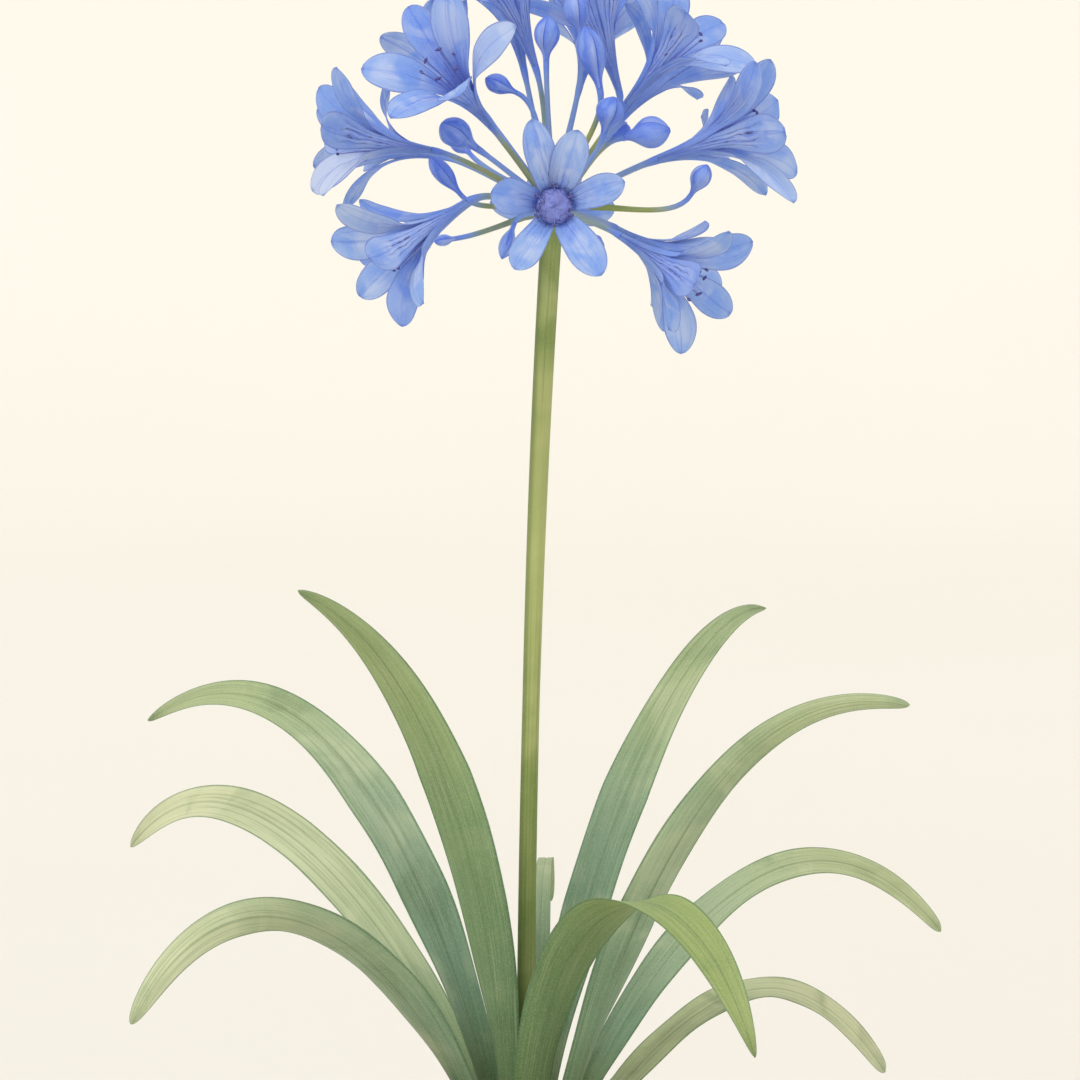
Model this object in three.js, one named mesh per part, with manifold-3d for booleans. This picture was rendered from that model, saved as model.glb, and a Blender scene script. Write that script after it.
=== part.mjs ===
// A flowering agapanthus (lily of the Nile) in a plain clay pot. Millimetres, +Z up.
// The origin is the centre of the pot's underside, and the plant's broad side faces -Y.
// The pot holds the soil, the soil holds the leaf bases and the scape in one plain hole,
// and the scape carries an umbel: every flower and bud stands on its own stalk.

import * as THREE from "three";
import Module from "manifold-3d";

const wasm = await Module();
wasm.setup();

// ------------------------------------------------------------------ driving dimensions

const CLEARANCE = 0.3; // between pieces that touch on the real plant

const POT_HEIGHT = 150;
const POT_RIM_RADIUS = 84;
const POT_BASE_RADIUS = 57;
const POT_WALL = 6;
const POT_FLOOR = 8;
const RIM_BAND_HEIGHT = 27;
const RIM_BAND_STEP = 5; // how far the band stands out from the wall below it
const POT_BEVEL = 2; // softens the pot's foot, lip and band
const POT_SIDES = 40;
const DRAIN_HOLE_RADIUS = 6;
const DRAIN_HOLE_SIDES = 12;
const DRAIN_HOLE_COUNT = 3;
const DRAIN_HOLE_RING = 30; // radius of the ring that the drain holes stand on

const SOIL_LEVEL = 136;
const SOIL_RELIEF = 1.6; // the most that its crumbly surface rises or dips
const SOIL_TO_WALL = 0.6; // the wall is faceted, so the soil keeps a little clear of it
const SOIL_RINGS = [60, 48, 36]; // radii of the rings of corners on its surface
const PLANT_HOLE_RADIUS = 24.5;
const PLANT_HOLE_DEPTH = 12;

const LEAF_EDGE = 0.8; // thickness at the leaf's edges
const LEAF_MIDDLE = 2.1; // thickness along its middle
const LEAF_BASE_WIDTH = 15.5;
const LEAF_TIP_WIDTH = 3;
const LEAF_CHANNEL = 0.09; // depth of its shallow channel, as a share of its width
const LEAF_STATIONS = 13;
const LEAF_FOOT_RISE = 3; // above the soil, where a leaf's middle line leaves its upright foot
const SHEATH_RISE = 32; // up to here the crown holds the leaves in

const SCAPE_SIDES = 10;
const SCAPE_STEPS = 7;
const SCAPE_RADII = [[0, 4], [0.5, 3.7], [1, 4.6]]; // rows of [share of its length, radius]
const HEAD_RADIUS = 6.2; // the swollen top of the scape that the flower stalks grow from
const UMBEL_CENTRE = new THREE.Vector3(12.3, 0, 561.5);

const STALK_ROOT_RADIUS = 1.75;
const STALK_END_RADIUS = 1.15;
const STALK_SIDES = 5;
const STALK_STEPS = 4;

const TEPAL_THICKNESS = 0.9;
const FLOWER_FOOT_RADIUS = 1.5;
const FLOWER_TUBE = { radius: 2.6, height: 18 }; // steers the narrow tube
// Pairs are for a flower that has just opened and for one that is wide open.
const FLOWER_BEND = { radius: [7, 9], height: [40, 36] }; // steers where the tepals turn out
const FLOWER_TIP = { radius: [15, 36], height: [60, 38] };
const WHORL_STEP = { radius: 0.05, height: 1.5 }; // how far the two rings of tepals differ
const STAMEN_WIDTH = 0.9;
const STAMEN_FOOT = { radius: 2.3, height: 10.5 };
const STAMEN_TIP = { radius: [4.5, 8], height: [45, 36] };

const GREEN_LEAF = 0x7f9a63;
const GREEN_STALK = 0x86935a;
const BLUE_TEPAL = 0x7b98e0;
const BLUE_BUD = 0x6682d2;
const CLAY = 0xb9714c;
const SOIL = 0x4a382b;

// ------------------------------------------------------------------ plain helpers

const radians = THREE.MathUtils.degToRad;
const { lerp, smoothstep } = THREE.MathUtils;

// The same row of numbers from 0 to 1 on every run.
function seededRandom(seed) {
  let state = seed;
  return () => {
    state = (state * 1664525 + 1013904223) % 4294967296;
    return state / 4294967296;
  };
}

// The unit vector with a bearing round +Z, from +X, and a rise above the horizon.
function direction(bearing, rise) {
  const level = Math.cos(radians(rise));
  return new THREE.Vector3(
    level * Math.cos(radians(bearing)),
    level * Math.sin(radians(bearing)),
    Math.sin(radians(rise)),
  );
}

// A value between rows of [position, value], with straight lines between the rows.
function along(rows, position) {
  const next = rows.findIndex(([start]) => start >= position);
  if (next <= 0) return rows[next === 0 ? 0 : rows.length - 1][1];
  const [from, to] = [rows[next - 1], rows[next]];
  return lerp(from[1], to[1], (position - from[0]) / (to[0] - from[0]));
}

// A value between the two of a pair.
function between([from, to], share) {
  return lerp(from, to, share);
}

// Collects the corners and faces of one closed skin, faces anticlockwise from outside.
class Skin {
  points = [];
  faces = [];

  corner(point) {
    this.points.push(point);
    return this.points.length - 1;
  }

  triangle(a, b, c) {
    this.faces.push(a, b, c);
  }

  // Split from the first corner to the third.
  quad(a, b, c, d) {
    this.triangle(a, b, c);
    this.triangle(a, c, d);
  }

  // Joins two rows with as many corners, or a row to a single tip. mirrored splits each quad
  // the other way, for the back of a blade.
  strip(row, next, mirrored = false) {
    for (let i = 1; i < row.length; i++) {
      const [a, b] = [row[i - 1], row[i]];
      if (next.length === 1) this.triangle(a, b, next[0]);
      else if (mirrored) this.quad(next[i - 1], a, b, next[i]);
      else this.quad(a, b, next[i], next[i - 1]);
    }
  }

  geometry() {
    const made = new THREE.BufferGeometry();
    made.setFromPoints(this.points);
    made.setIndex(this.faces);
    return made;
  }
}

// Skins sections of one number of corners, anticlockwise about the way they run, and closes
// both ends. The second half of a section is split the other way, so that a thin blade's
// two faces are split alike. An odd section's caps end in an empty face, which solidOf drops.
function loft(sections) {
  const skin = new Skin();
  const count = sections[0].length;
  const rows = sections.map((section) => section.map((point) => skin.corner(point)));
  for (let row = 1; row < rows.length; row++) {
    for (let i = 0; i < count; i++) {
      const j = (i + 1) % count;
      const corners = [rows[row - 1][i], rows[row - 1][j], rows[row][j], rows[row][i]];
      if (i >= count / 2) corners.push(corners.shift());
      skin.quad(...corners);
    }
  }
  const [first, last] = [rows[0], rows[rows.length - 1]];
  for (let i = 0; i < count / 2 - 1; i++) {
    const [j, k, l] = [i + 1, count - 2 - i, count - 1 - i];
    skin.quad(first[i], first[l], first[k], first[j]);
    skin.quad(last[i], last[j], last[k], last[l]);
  }
  return skin.geometry();
}

// A round rod along a curve, with its radius given at shares 0 to 1 of its length.
function rod(curve, steps, sides, radiusAt) {
  const { normals, binormals } = curve.computeFrenetFrames(steps, false);
  const sections = normals.map((normal, step) => {
    const centre = curve.getPointAt(step / steps);
    const radius = radiusAt(step / steps);
    return Array.from({ length: sides }, (_, side) => {
      const angle = (2 * Math.PI * side) / sides;
      return centre
        .clone()
        .addScaledVector(normal, radius * Math.cos(angle))
        .addScaledVector(binormals[step], radius * Math.sin(angle));
    });
  });
  return loft(sections);
}

// ------------------------------------------------------------------ joins and cuts

function solidOf(geometry) {
  const bare = geometry.index ? geometry.toNonIndexed() : geometry;
  const positions = bare.getAttribute("position");
  const seen = new Map();
  const vertProperties = [];
  const triVerts = new Uint32Array(positions.count);
  for (let i = 0; i < positions.count; i++) {
    const point = [positions.getX(i), positions.getY(i), positions.getZ(i)];
    const key = point.map((value) => Math.round(value * 1e4)).join();
    if (!seen.has(key)) {
      seen.set(key, vertProperties.length / 3);
      vertProperties.push(...point);
    }
    triVerts[i] = seen.get(key);
  }
  const whole = [];
  for (let i = 0; i < triVerts.length; i += 3) {
    const [a, b, c] = triVerts.subarray(i, i + 3);
    if (a !== b && b !== c && c !== a) whole.push(a, b, c);
  }
  return new wasm.Manifold(
    new wasm.Mesh({
      numProp: 3,
      vertProperties: new Float32Array(vertProperties),
      triVerts: new Uint32Array(whole),
    }),
  );
}

function geometryOf(solid) {
  const { vertProperties, triVerts } = solid.getMesh();
  return new THREE.BufferGeometry()
    .setAttribute("position", new THREE.BufferAttribute(new Float32Array(vertProperties), 3))
    .setIndex([...triVerts]);
}

function fused(geometries) {
  return geometryOf(geometries.map(solidOf).reduce((whole, piece) => whole.add(piece)));
}

function piece(name, geometry, color, roughness) {
  const material = new THREE.MeshStandardMaterial({ color, roughness, metalness: 0 });
  const mesh = new THREE.Mesh(geometry, material);
  mesh.name = name;
  return mesh;
}

// ------------------------------------------------------------------ pot and soil

// The radius of the pot's outer wall, below the band, at a height.
function wallRadius(height) {
  return lerp(POT_BASE_RADIUS, POT_RIM_RADIUS - RIM_BAND_STEP, height / POT_HEIGHT);
}

// A profile of [radius, height] turned about +Z.
function turned(profile, sides) {
  const points = profile.map(([radius, height]) => new THREE.Vector2(radius, height));
  return new THREE.LatheGeometry(points, sides).rotateX(Math.PI / 2);
}

function pot() {
  const bandFoot = POT_HEIGHT - RIM_BAND_HEIGHT;
  const innerLip = wallRadius(POT_HEIGHT) - POT_WALL;
  const body = turned(
    [
      [0, 0],
      [POT_BASE_RADIUS - POT_BEVEL, 0],
      [wallRadius(POT_BEVEL), POT_BEVEL],
      [wallRadius(bandFoot - POT_BEVEL), bandFoot - POT_BEVEL],
      [POT_RIM_RADIUS - POT_BEVEL, bandFoot],
      [POT_RIM_RADIUS, bandFoot + POT_BEVEL],
      [POT_RIM_RADIUS, POT_HEIGHT - POT_BEVEL],
      [POT_RIM_RADIUS - POT_BEVEL, POT_HEIGHT],
      [innerLip + POT_BEVEL, POT_HEIGHT],
      [innerLip, POT_HEIGHT - POT_BEVEL],
      [wallRadius(POT_FLOOR) - POT_WALL, POT_FLOOR],
      [0, POT_FLOOR],
    ],
    POT_SIDES,
  );
  let solid = solidOf(body);
  for (let hole = 0; hole < DRAIN_HOLE_COUNT; hole++) {
    const place = direction((360 * hole) / DRAIN_HOLE_COUNT + 90, 0).multiplyScalar(DRAIN_HOLE_RING);
    const drill = new THREE.CylinderGeometry(
      DRAIN_HOLE_RADIUS, DRAIN_HOLE_RADIUS, 3 * POT_FLOOR, DRAIN_HOLE_SIDES,
    );
    drill.rotateX(Math.PI / 2).translate(...place.toArray());
    solid = solid.subtract(solidOf(drill));
  }
  return piece("pot", geometryOf(solid), CLAY, 0.85);
}

// The height of the soil's crumbly surface above its level.
function soilBump(x, y) {
  const broad = Math.sin(x * 0.13 + 0.8) * Math.cos(y * 0.11 - 0.4);
  const fine = Math.sin(x * 0.37 - y * 0.29) * Math.sin(y * 0.41 + x * 0.17 + 1);
  return SOIL_RELIEF * (0.55 * broad + 0.45 * fine);
}

function soil() {
  const toWall = (height) => wallRadius(height) - POT_WALL - SOIL_TO_WALL;
  const foot = POT_FLOOR + CLEARANCE;
  const holeFloor = SOIL_LEVEL - PLANT_HOLE_DEPTH - CLEARANCE;
  const surfaceRings = [toWall(SOIL_LEVEL - SOIL_RELIEF), ...SOIL_RINGS, PLANT_HOLE_RADIUS];
  const geometry = turned(
    [
      [0, foot],
      [toWall(foot), foot],
      ...surfaceRings.map((radius) => [radius, SOIL_LEVEL]),
      [PLANT_HOLE_RADIUS, holeFloor],
      [0, holeFloor],
    ],
    POT_SIDES,
  );
  const positions = geometry.getAttribute("position");
  for (let i = 0; i < positions.count; i++) {
    if (Math.abs(positions.getZ(i) - SOIL_LEVEL) < 0.01) {
      positions.setZ(i, SOIL_LEVEL + soilBump(positions.getX(i), positions.getY(i)));
    }
  }
  return piece("soil", geometry, SOIL, 1);
}

// ------------------------------------------------------------------ leaves

// One row a leaf. seat is the bearing of its base round the crown, ring the radius of the
// base, heading the bearing that it arches towards. rise, shoulder and tip steer its middle
// line and are [outward, up] from the base at soil level. width is its broadest, and
// narrowing is the share of its length where it starts to narrow, the share of its width
// left at the tip, and how blunt the tip is. turn is how far the blade rolls to the front at
// its middle and tip, below 0 for its underside.
const LEAVES = [
  { name: "leaf_left_tall", seat: 212, ring: 7.8, heading: 222, rise: [3, 140],
    shoulder: [55, 240], tip: [120, 265], width: 23.5, narrowing: [0.62, 0.33, 14],
    turn: [-0.55, -0.8] },
  { name: "leaf_left_high", seat: 158, ring: 12, heading: 146, rise: [15, 94],
    shoulder: [93, 252], tip: [198, 185], width: 25, narrowing: [0.56, 0.26, 16],
    turn: [0.5, 0.85] },
  { name: "leaf_left_middle", seat: 142, ring: 16.4, heading: 132, rise: [19, 55],
    shoulder: [171, 203], tip: [267, 112], width: 23, narrowing: [0.62, 0.5, 12],
    turn: [0.45, 0.85] },
  { name: "leaf_left_low", seat: 208, ring: 16.4, heading: 222, rise: [39, 106],
    shoulder: [141, 175], tip: [200, 90], width: 22, narrowing: [0.42, 0.45, 20],
    turn: [-0.45, -0.85] },
  { name: "leaf_front", seat: 270, ring: 16.4, heading: 310, rise: [8, 140],
    shoulder: [104, 173], tip: [150, 74], width: 25, narrowing: [0.68, 0.4, 10],
    turn: [-0.6, 0.6] },
  { name: "leaf_right_tall", seat: 32, ring: 7.8, heading: 40, rise: [12, 121],
    shoulder: [86, 247], tip: [135, 240], width: 22.5, narrowing: [0.6, 0.42, 16],
    turn: [0.5, 0.7] },
  { name: "leaf_right_high", seat: -20, ring: 12, heading: -32, rise: [37, 121],
    shoulder: [89, 229], tip: [178, 218], width: 23, narrowing: [0.4, 0.22, 60],
    turn: [-0.5, -0.85] },
  { name: "leaf_right_middle", seat: 12, ring: 16.4, heading: 30, rise: [28, 70],
    shoulder: [114, 187], tip: [204, 88], width: 20.5, narrowing: [0.38, 0.33, 60],
    turn: [0.5, 0.85] },
  { name: "leaf_right_low", seat: 24, ring: 20.8, heading: 45, rise: [58, 50],
    shoulder: [133, 105], tip: [215, 11], width: 15.5, narrowing: [0.5, 0.48, 60],
    turn: [0.4, 0.85] },
  { name: "leaf_back_tall", seat: 66, ring: 12, heading: 87, rise: [6, 86],
    shoulder: [62, 168], tip: [140, 95], width: 9, narrowing: [0.5, 0.4, 20], turn: [0, 0] },
  { name: "leaf_back_middle", seat: 84, ring: 16.4, heading: 90, rise: [20, 46],
    shoulder: [90, 92], tip: [170, 34], width: 18, narrowing: [0.5, 0.4, 20], turn: [0, 0] },
  { name: "leaf_back_low", seat: 116, ring: 20.8, heading: 99, rise: [30, 40],
    shoulder: [100, 76], tip: [155, 14], width: 16, narrowing: [0.5, 0.4, 20], turn: [0, 0] },
];

// Rows of [share of a leaf's length, share of the way from its base width to its broadest].
const LEAF_WIDTH_SHARES = [[0, 0], [0.12, 0.25], [0.42, 1], [0.62, 1], [1, 1]];
const FACE_FRONT = new THREE.Vector3(0, -1, 0.25).normalize();
const MOST_WRAP = 1.2; // radians to each side that a leaf's base wraps round the crown

// A leaf's middle line: upright in the crown, then arching outward and over.
function leafCurve({ seat, ring, heading, rise, shoulder, tip }) {
  const base = direction(seat, 0).multiplyScalar(ring);
  const outward = direction(heading, 0);
  const steer = [[0, LEAF_FOOT_RISE], rise, shoulder, tip].map((pair) => new THREE.Vector2(...pair));
  const points = new THREE.CubicBezierCurve(...steer).getPoints(LEAF_STATIONS);
  const places = points.map(({ x: out, y: up }, index) => {
    const freed = index < LEAF_STATIONS / 2 ? smoothstep(up, 0, SHEATH_RISE) : 1;
    return base.clone().addScaledVector(outward, out * freed).setZ(SOIL_LEVEL + up);
  });
  const foot = base.clone().setZ(SOIL_LEVEL - PLANT_HOLE_DEPTH);
  return new THREE.CatmullRomCurve3([foot, ...places]);
}

// The leaf's whole width at a share of its length.
function leafWidth({ width, narrowing: [start, left, bluntness] }, share) {
  const body = lerp(LEAF_BASE_WIDTH, width, along(LEAF_WIDTH_SHARES, share));
  const narrowed = body * along([[start, 1], [1, left]], share);
  return Math.max(LEAF_TIP_WIDTH, narrowed * Math.sqrt(1 - share ** bluntness));
}

// Half the leaf's width as the crow flies and the depth of its middle below its edges. At
// the base the leaf wraps round its ring in the crown, and further up it is a shallow channel.
function leafTrough(ring, width, share) {
  const wrapped = Math.min(width / 2 / ring, MOST_WRAP);
  const free = smoothstep(share, 0.02, 0.4);
  return {
    reach: lerp(ring * Math.sin(wrapped), width / 2, free),
    depth: lerp(ring * (1 - Math.cos(wrapped)), LEAF_CHANNEL * width, free),
  };
}

// The way the leaf's upper face looks: inward at the base, upwards further out, and rolled
// towards the front by the row's turn.
function leafNormal({ seat, heading, turn: [middleTurn, tipTurn] }, tangent, share) {
  const level = new THREE.Vector3().crossVectors(direction(heading, 0), direction(0, 90));
  const upward = level.cross(tangent).normalize();
  const rising = middleTurn * smoothstep(share, 0.08, 0.5);
  const roll = lerp(rising, tipTurn, smoothstep(share, 0.45, 0.85));
  return direction(seat + 180, 0)
    .lerp(upward, smoothstep(share, 0, 0.3))
    .lerp(FACE_FRONT.clone().multiplyScalar(Math.sign(roll)), Math.abs(roll))
    .projectOnPlane(tangent)
    .normalize();
}

function leaf(row) {
  const curve = leafCurve(row);
  const sections = [];
  for (let station = 0; station <= LEAF_STATIONS; station++) {
    const share = station / LEAF_STATIONS;
    const centre = curve.getPointAt(share);
    const tangent = curve.getTangentAt(share);
    const normal = leafNormal(row, tangent, share);
    const side = new THREE.Vector3().crossVectors(normal, tangent);
    const { reach, depth } = leafTrough(row.ring, leafWidth(row, share), share);
    const middle = lerp(LEAF_MIDDLE, LEAF_EDGE, smoothstep(share, 0.7, 1));
    const spot = (across, up) =>
      centre.clone().addScaledVector(side, across).addScaledVector(normal, up);
    sections.push([
      spot(reach, (depth + LEAF_EDGE) / 2),
      spot(0, (middle - depth) / 2),
      spot(-reach, (depth + LEAF_EDGE) / 2),
      spot(-reach, (depth - LEAF_EDGE) / 2),
      spot(0, -(middle + depth) / 2),
      spot(reach, (depth - LEAF_EDGE) / 2),
    ]);
  }
  return piece(row.name, loft(sections), GREEN_LEAF, 0.55);
}

// ------------------------------------------------------------------ flowers and buds

// How far each tepal of the front flower reaches, from its right anticlockwise.
const FRONT_REACHES = [0.86, 1.02, 1.08, 0.72, 0.8, 1];

// One row an open flower: where its stalk ends, [right, back, up] from the umbel's centre,
// the bearing and rise that it looks towards, how wide it opens from 0 to 1, its size, its
// spin round its own axis in degrees, and how far its tepals roll their faces to the front.
const FLOWERS = [
  { at: [1, -36, 1], aim: [269, 2], open: 1, size: 1.02, spin: 0, gather: 15, reaches: FRONT_REACHES },
  { at: [-53, -12, 25], aim: [188, 8], open: 0.68, size: 1.05, spin: 65, roll: 0.45 },
  { at: [-37.5, -38, 3], aim: [206, -33], open: 0.5, size: 1.11, spin: 89, roll: 0.45 },
  { at: [-28, -17, 36.5], aim: [236, 35], open: 0.64, size: 1.17, spin: 20, roll: 0.45 },
  { at: [-8, 2, 62], aim: [198, 70], open: 0.55, size: 1.12, spin: 20, roll: 0.45 },
  { at: [32, -12, 45.5], aim: [-16, 49], open: 0.68, size: 1.11, spin: 118, roll: 0.45 },
  { at: [29, 17, 51], aim: [166, 72], open: 0.5, size: 1.08, spin: 50, roll: 0.45 },
  { at: [46, -8, 21.5], aim: [-6, 18], open: 0.58, size: 1.17, spin: 14, roll: 0.45 },
  { at: [29.5, -38, -12], aim: [-33, -27], open: 0.64, size: 1.08, spin: 100, roll: 0.45 },
  { at: [1, 48, -5], aim: [90, 2], open: 0.5, size: 1, spin: 0 },
  { at: [-30, 30, 40], aim: [138, 40], open: 0.55, size: 1.05, spin: 0 },
  { at: [33, 29, 41], aim: [44, 38], open: 0.55, size: 1.05, spin: 45 },
  { at: [-50, 28, 22], aim: [150, 9], open: 0.55, size: 1.05, spin: 25 },
  { at: [46, 28, 20], aim: [32, 14], open: 0.55, size: 1.05, spin: 10 },
  { at: [-36, 30, 2], aim: [148, -27], open: 0.5, size: 1, spin: 55 },
  { at: [28, 34, -10], aim: [40, -27], open: 0.5, size: 1, spin: 20 },
  { at: [-13, 28, 61], aim: [112, 60], open: 0.5, size: 1.05, spin: 0 },
  { at: [12, 42, 53], aim: [76, 44], open: 0.5, size: 1.05, spin: 40 },
];

// One row a bud, placed like the flowers, with its length, radius and how far it nods.
const BUDS = [
  { at: [-3, -24, 64], aim: [270, 84], length: 19, radius: 5.6, nod: 4 },
  { at: [12, -12, 74], aim: [180, 80], length: 20, radius: 6, nod: -4 },
  { at: [20, -27, 52], aim: [190, 76], length: 27, radius: 6.4, nod: 4 },
  { at: [-16, -22, 50], aim: [186, 24], length: 15, radius: 4.4, nod: 22 },
  { at: [-33, -28, 26], aim: [192, 34], length: 20, radius: 6.6, nod: 30 },
  { at: [22, -30, 33], aim: [-50, 70], length: 16, radius: 6.2, nod: 8 },
  { at: [31, -28, 31], aim: [-16, 8], length: 20, radius: 7.2, nod: 8 },
  { at: [60, -16, 6], aim: [-20, 58], length: 15, radius: 4.6, nod: -14 },
  { at: [-42, -22, -13], aim: [196, -8], length: 10, radius: 2.6, nod: 6 },
  { at: [-17, -18, -7], aim: [232, -60], length: 17, radius: 3.4, nod: 0 },
  { at: [-40, -24, 6], aim: [186, 50], length: 21, radius: 4.2, nod: 0 },
  { at: [-37, 44, 23], aim: [120, 30], length: 16, radius: 4.6, nod: 6 },
  { at: [-6, 42, -12], aim: [100, -24], length: 15, radius: 4.2, nod: 8 },
  { at: [26, 46, 30], aim: [62, 16], length: 17, radius: 4.8, nod: 8 },
  { at: [16, 42, -14], aim: [70, -26], length: 16, radius: 4.8, nod: 8 },
];

const TEPALS = 6;
const TUBE_SIDES = 2 * TEPALS; // one each for a tepal's middle and for the seam beside it
const TUBE_SHARES = [0, 0.13, 0.33]; // shares of a tepal's length where it is joined in the tube
const LOBE_SHARES = [0.51, 0.7, 0.9, 1]; // and where it is free
const LOBE_FOOT_HALF_WIDTHS = [2.4, 4.6]; // of a flower half open, and of one wide open
const WIDE_OPEN = [0.7, 1]; // how open a flower is when the feet of its tepals broaden
const LOBE_HALF_WIDTH = 7.2;
const LOBE_GROWS = [0.34, 0.8]; // shares of a tepal's length between which it broadens
const LOBE_CLOSES = 0.75; // and where its blunt tip begins
const LOBE_BLUNTNESS = [2.4, 0.6];
const THROAT_DEPTH_SHARE = 0.14; // where the hollow of the flower begins
const USUAL_GATHER = 6; // degrees that a flower's upper tepals close up towards its top
const FLARE_SPREAD = 0.18; // how unlike the six tepals of a flower flare
const USUAL_REACH = [0.94, 1.05];
const SWAY = 2.2; // the most that a tepal's tip leans to one side
const WHORL_BREADTH = [0.94, 1.08]; // the inner tepals are the broader ones
const CUP = [0.9, 0.4]; // how far a tepal's edges curl inward, at its foot and at its tip
const MOST_BREADTH = 0.52; // of a tepal's half width to its place from the axis, so none meet
const FLOWER_FRONT = new THREE.Vector3(0, -1, 0.09); // where rolled tepals turn their faces
const ROLLS = [0.42, 0.66]; // shares of a tepal's length between which it rolls
const SEEN_SHARE = 0.92; // the place on a tepal that says which of its faces comes forward
const SEEN_LEAST = -0.15; // an inner face may look this much backwards and still be that face
// The round cushion that shuts the throat of a wide open flower, rows of [radius, height].
const HEART = [[0, 14], [6.6, 26.5], [6.6, 28.2], [4.4, 29.4], [0, 30]];
const HEART_SIDES = 9;

// A tepal's middle line, seen from the side: [away from the flower's axis, along it]. whorl
// is 1 for an outer tepal and -1 for an inner one.
function tepalLine(open, whorl) {
  return new THREE.CubicBezierCurve(
    new THREE.Vector2(FLOWER_FOOT_RADIUS, 0),
    new THREE.Vector2(FLOWER_TUBE.radius, FLOWER_TUBE.height),
    new THREE.Vector2(between(FLOWER_BEND.radius, open), between(FLOWER_BEND.height, open)),
    new THREE.Vector2(
      between(FLOWER_TIP.radius, open) * (1 + whorl * WHORL_STEP.radius),
      between(FLOWER_TIP.height, open) - whorl * WHORL_STEP.height,
    ),
  );
}

// Half the width of a tepal where it is free: narrow at its foot, broad, with a blunt tip.
function lobeHalfWidth(open, share) {
  const foot = between(LOBE_FOOT_HALF_WIDTHS, smoothstep(open, ...WIDE_OPEN));
  const broad = lerp(foot, LOBE_HALF_WIDTH, smoothstep(share, ...LOBE_GROWS));
  const closing = Math.max(0, (share - LOBE_CLOSES) / (1 - LOBE_CLOSES));
  return broad * (1 - closing ** LOBE_BLUNTNESS[0]) ** LOBE_BLUNTNESS[1];
}

// The bearing of one side of the tube, round the flower's axis.
function sideBearing(side, gather) {
  const even = (side * 2 * Math.PI) / TUBE_SIDES;
  return even + radians(gather) * Math.cos(even) * (1 + Math.sin(even));
}

// The way a tepal's inner face looks at one slope of its middle line, rolled to the front,
// and the way across the tepal.
function tepalFacing(outwards, slope, front, roll) {
  const forward = outwards.clone().multiplyScalar(slope.x).setZ(slope.y);
  const inwards = outwards.clone().multiplyScalar(-slope.y).setZ(slope.x);
  const facing = inwards.lerp(front, roll).projectOnPlane(forward).normalize();
  return { facing, side: new THREE.Vector3().crossVectors(facing, forward) };
}

// The front, in the flower's own frame, or the back where that is where the inner face looks.
function seenFrom(row, outwards, line) {
  const front = FLOWER_FRONT.clone().applyQuaternion(standing(row).invert());
  const { facing } = tepalFacing(outwards, line.getTangentAt(SEEN_SHARE), front, 0);
  return facing.dot(front) >= SEEN_LEAST ? front : front.negate();
}

// Adds a tepal's free part to a flower, from the three outer and three inner corners that it
// starts from at the tube's mouth.
function addLobe(skin, row, tepal, outer, inner, random) {
  const { open, roll = 0, gather = USUAL_GATHER, reaches = [] } = row;
  const line = tepalLine(open + lerp(-FLARE_SPREAD, FLARE_SPREAD, random()), tepal % 2 ? -1 : 1);
  const usualReach = between(USUAL_REACH, random());
  const reach = reaches[tepal] ?? usualReach;
  const sway = lerp(-SWAY, SWAY, random());
  const angle = sideBearing(2 * tepal, gather);
  const outwards = new THREE.Vector3(Math.cos(angle), Math.sin(angle), 0);
  const sideways = new THREE.Vector3(-Math.sin(angle), Math.cos(angle), 0);
  const front = seenFrom(row, outwards, line);

  for (const share of LOBE_SHARES) {
    const { x, y } = line.getPointAt(share);
    const turn = roll * smoothstep(share, ...ROLLS);
    const { facing, side } = tepalFacing(outwards, line.getTangentAt(share), front, turn);
    const free = smoothstep(share, TUBE_SHARES[2], 1);
    const radius = x * lerp(1, reach, free);
    const cup = between(CUP, free);
    const breadth = lobeHalfWidth(open, share) * WHORL_BREADTH[tepal % 2];
    const half = Math.min(breadth, MOST_BREADTH * (radius - cup));
    const middle = outwards.clone().multiplyScalar(radius).addScaledVector(sideways, sway * free).setZ(y);
    const spot = (across, lift) =>
      middle.clone().addScaledVector(side, across).addScaledVector(facing, lift);
    const stations = share === 1 ? [[0, 0]] : [[-half, cup], [0, 0], [half, cup]];
    const nextOuter = stations.map(([across, lift]) => skin.corner(spot(across, lift)));
    const nextInner = stations.map(([across, lift]) => skin.corner(spot(across, lift + TEPAL_THICKNESS)));
    skin.strip(outer, nextOuter);
    skin.strip([...inner].reverse(), [...nextInner].reverse(), true);
    skin.quad(inner[0], outer[0], nextOuter[0], nextInner[0]);
    skin.quad(outer[2], inner[2], nextInner.at(-1), nextOuter.at(-1));
    [outer, inner] = [nextOuter, nextInner];
  }
}

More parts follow.
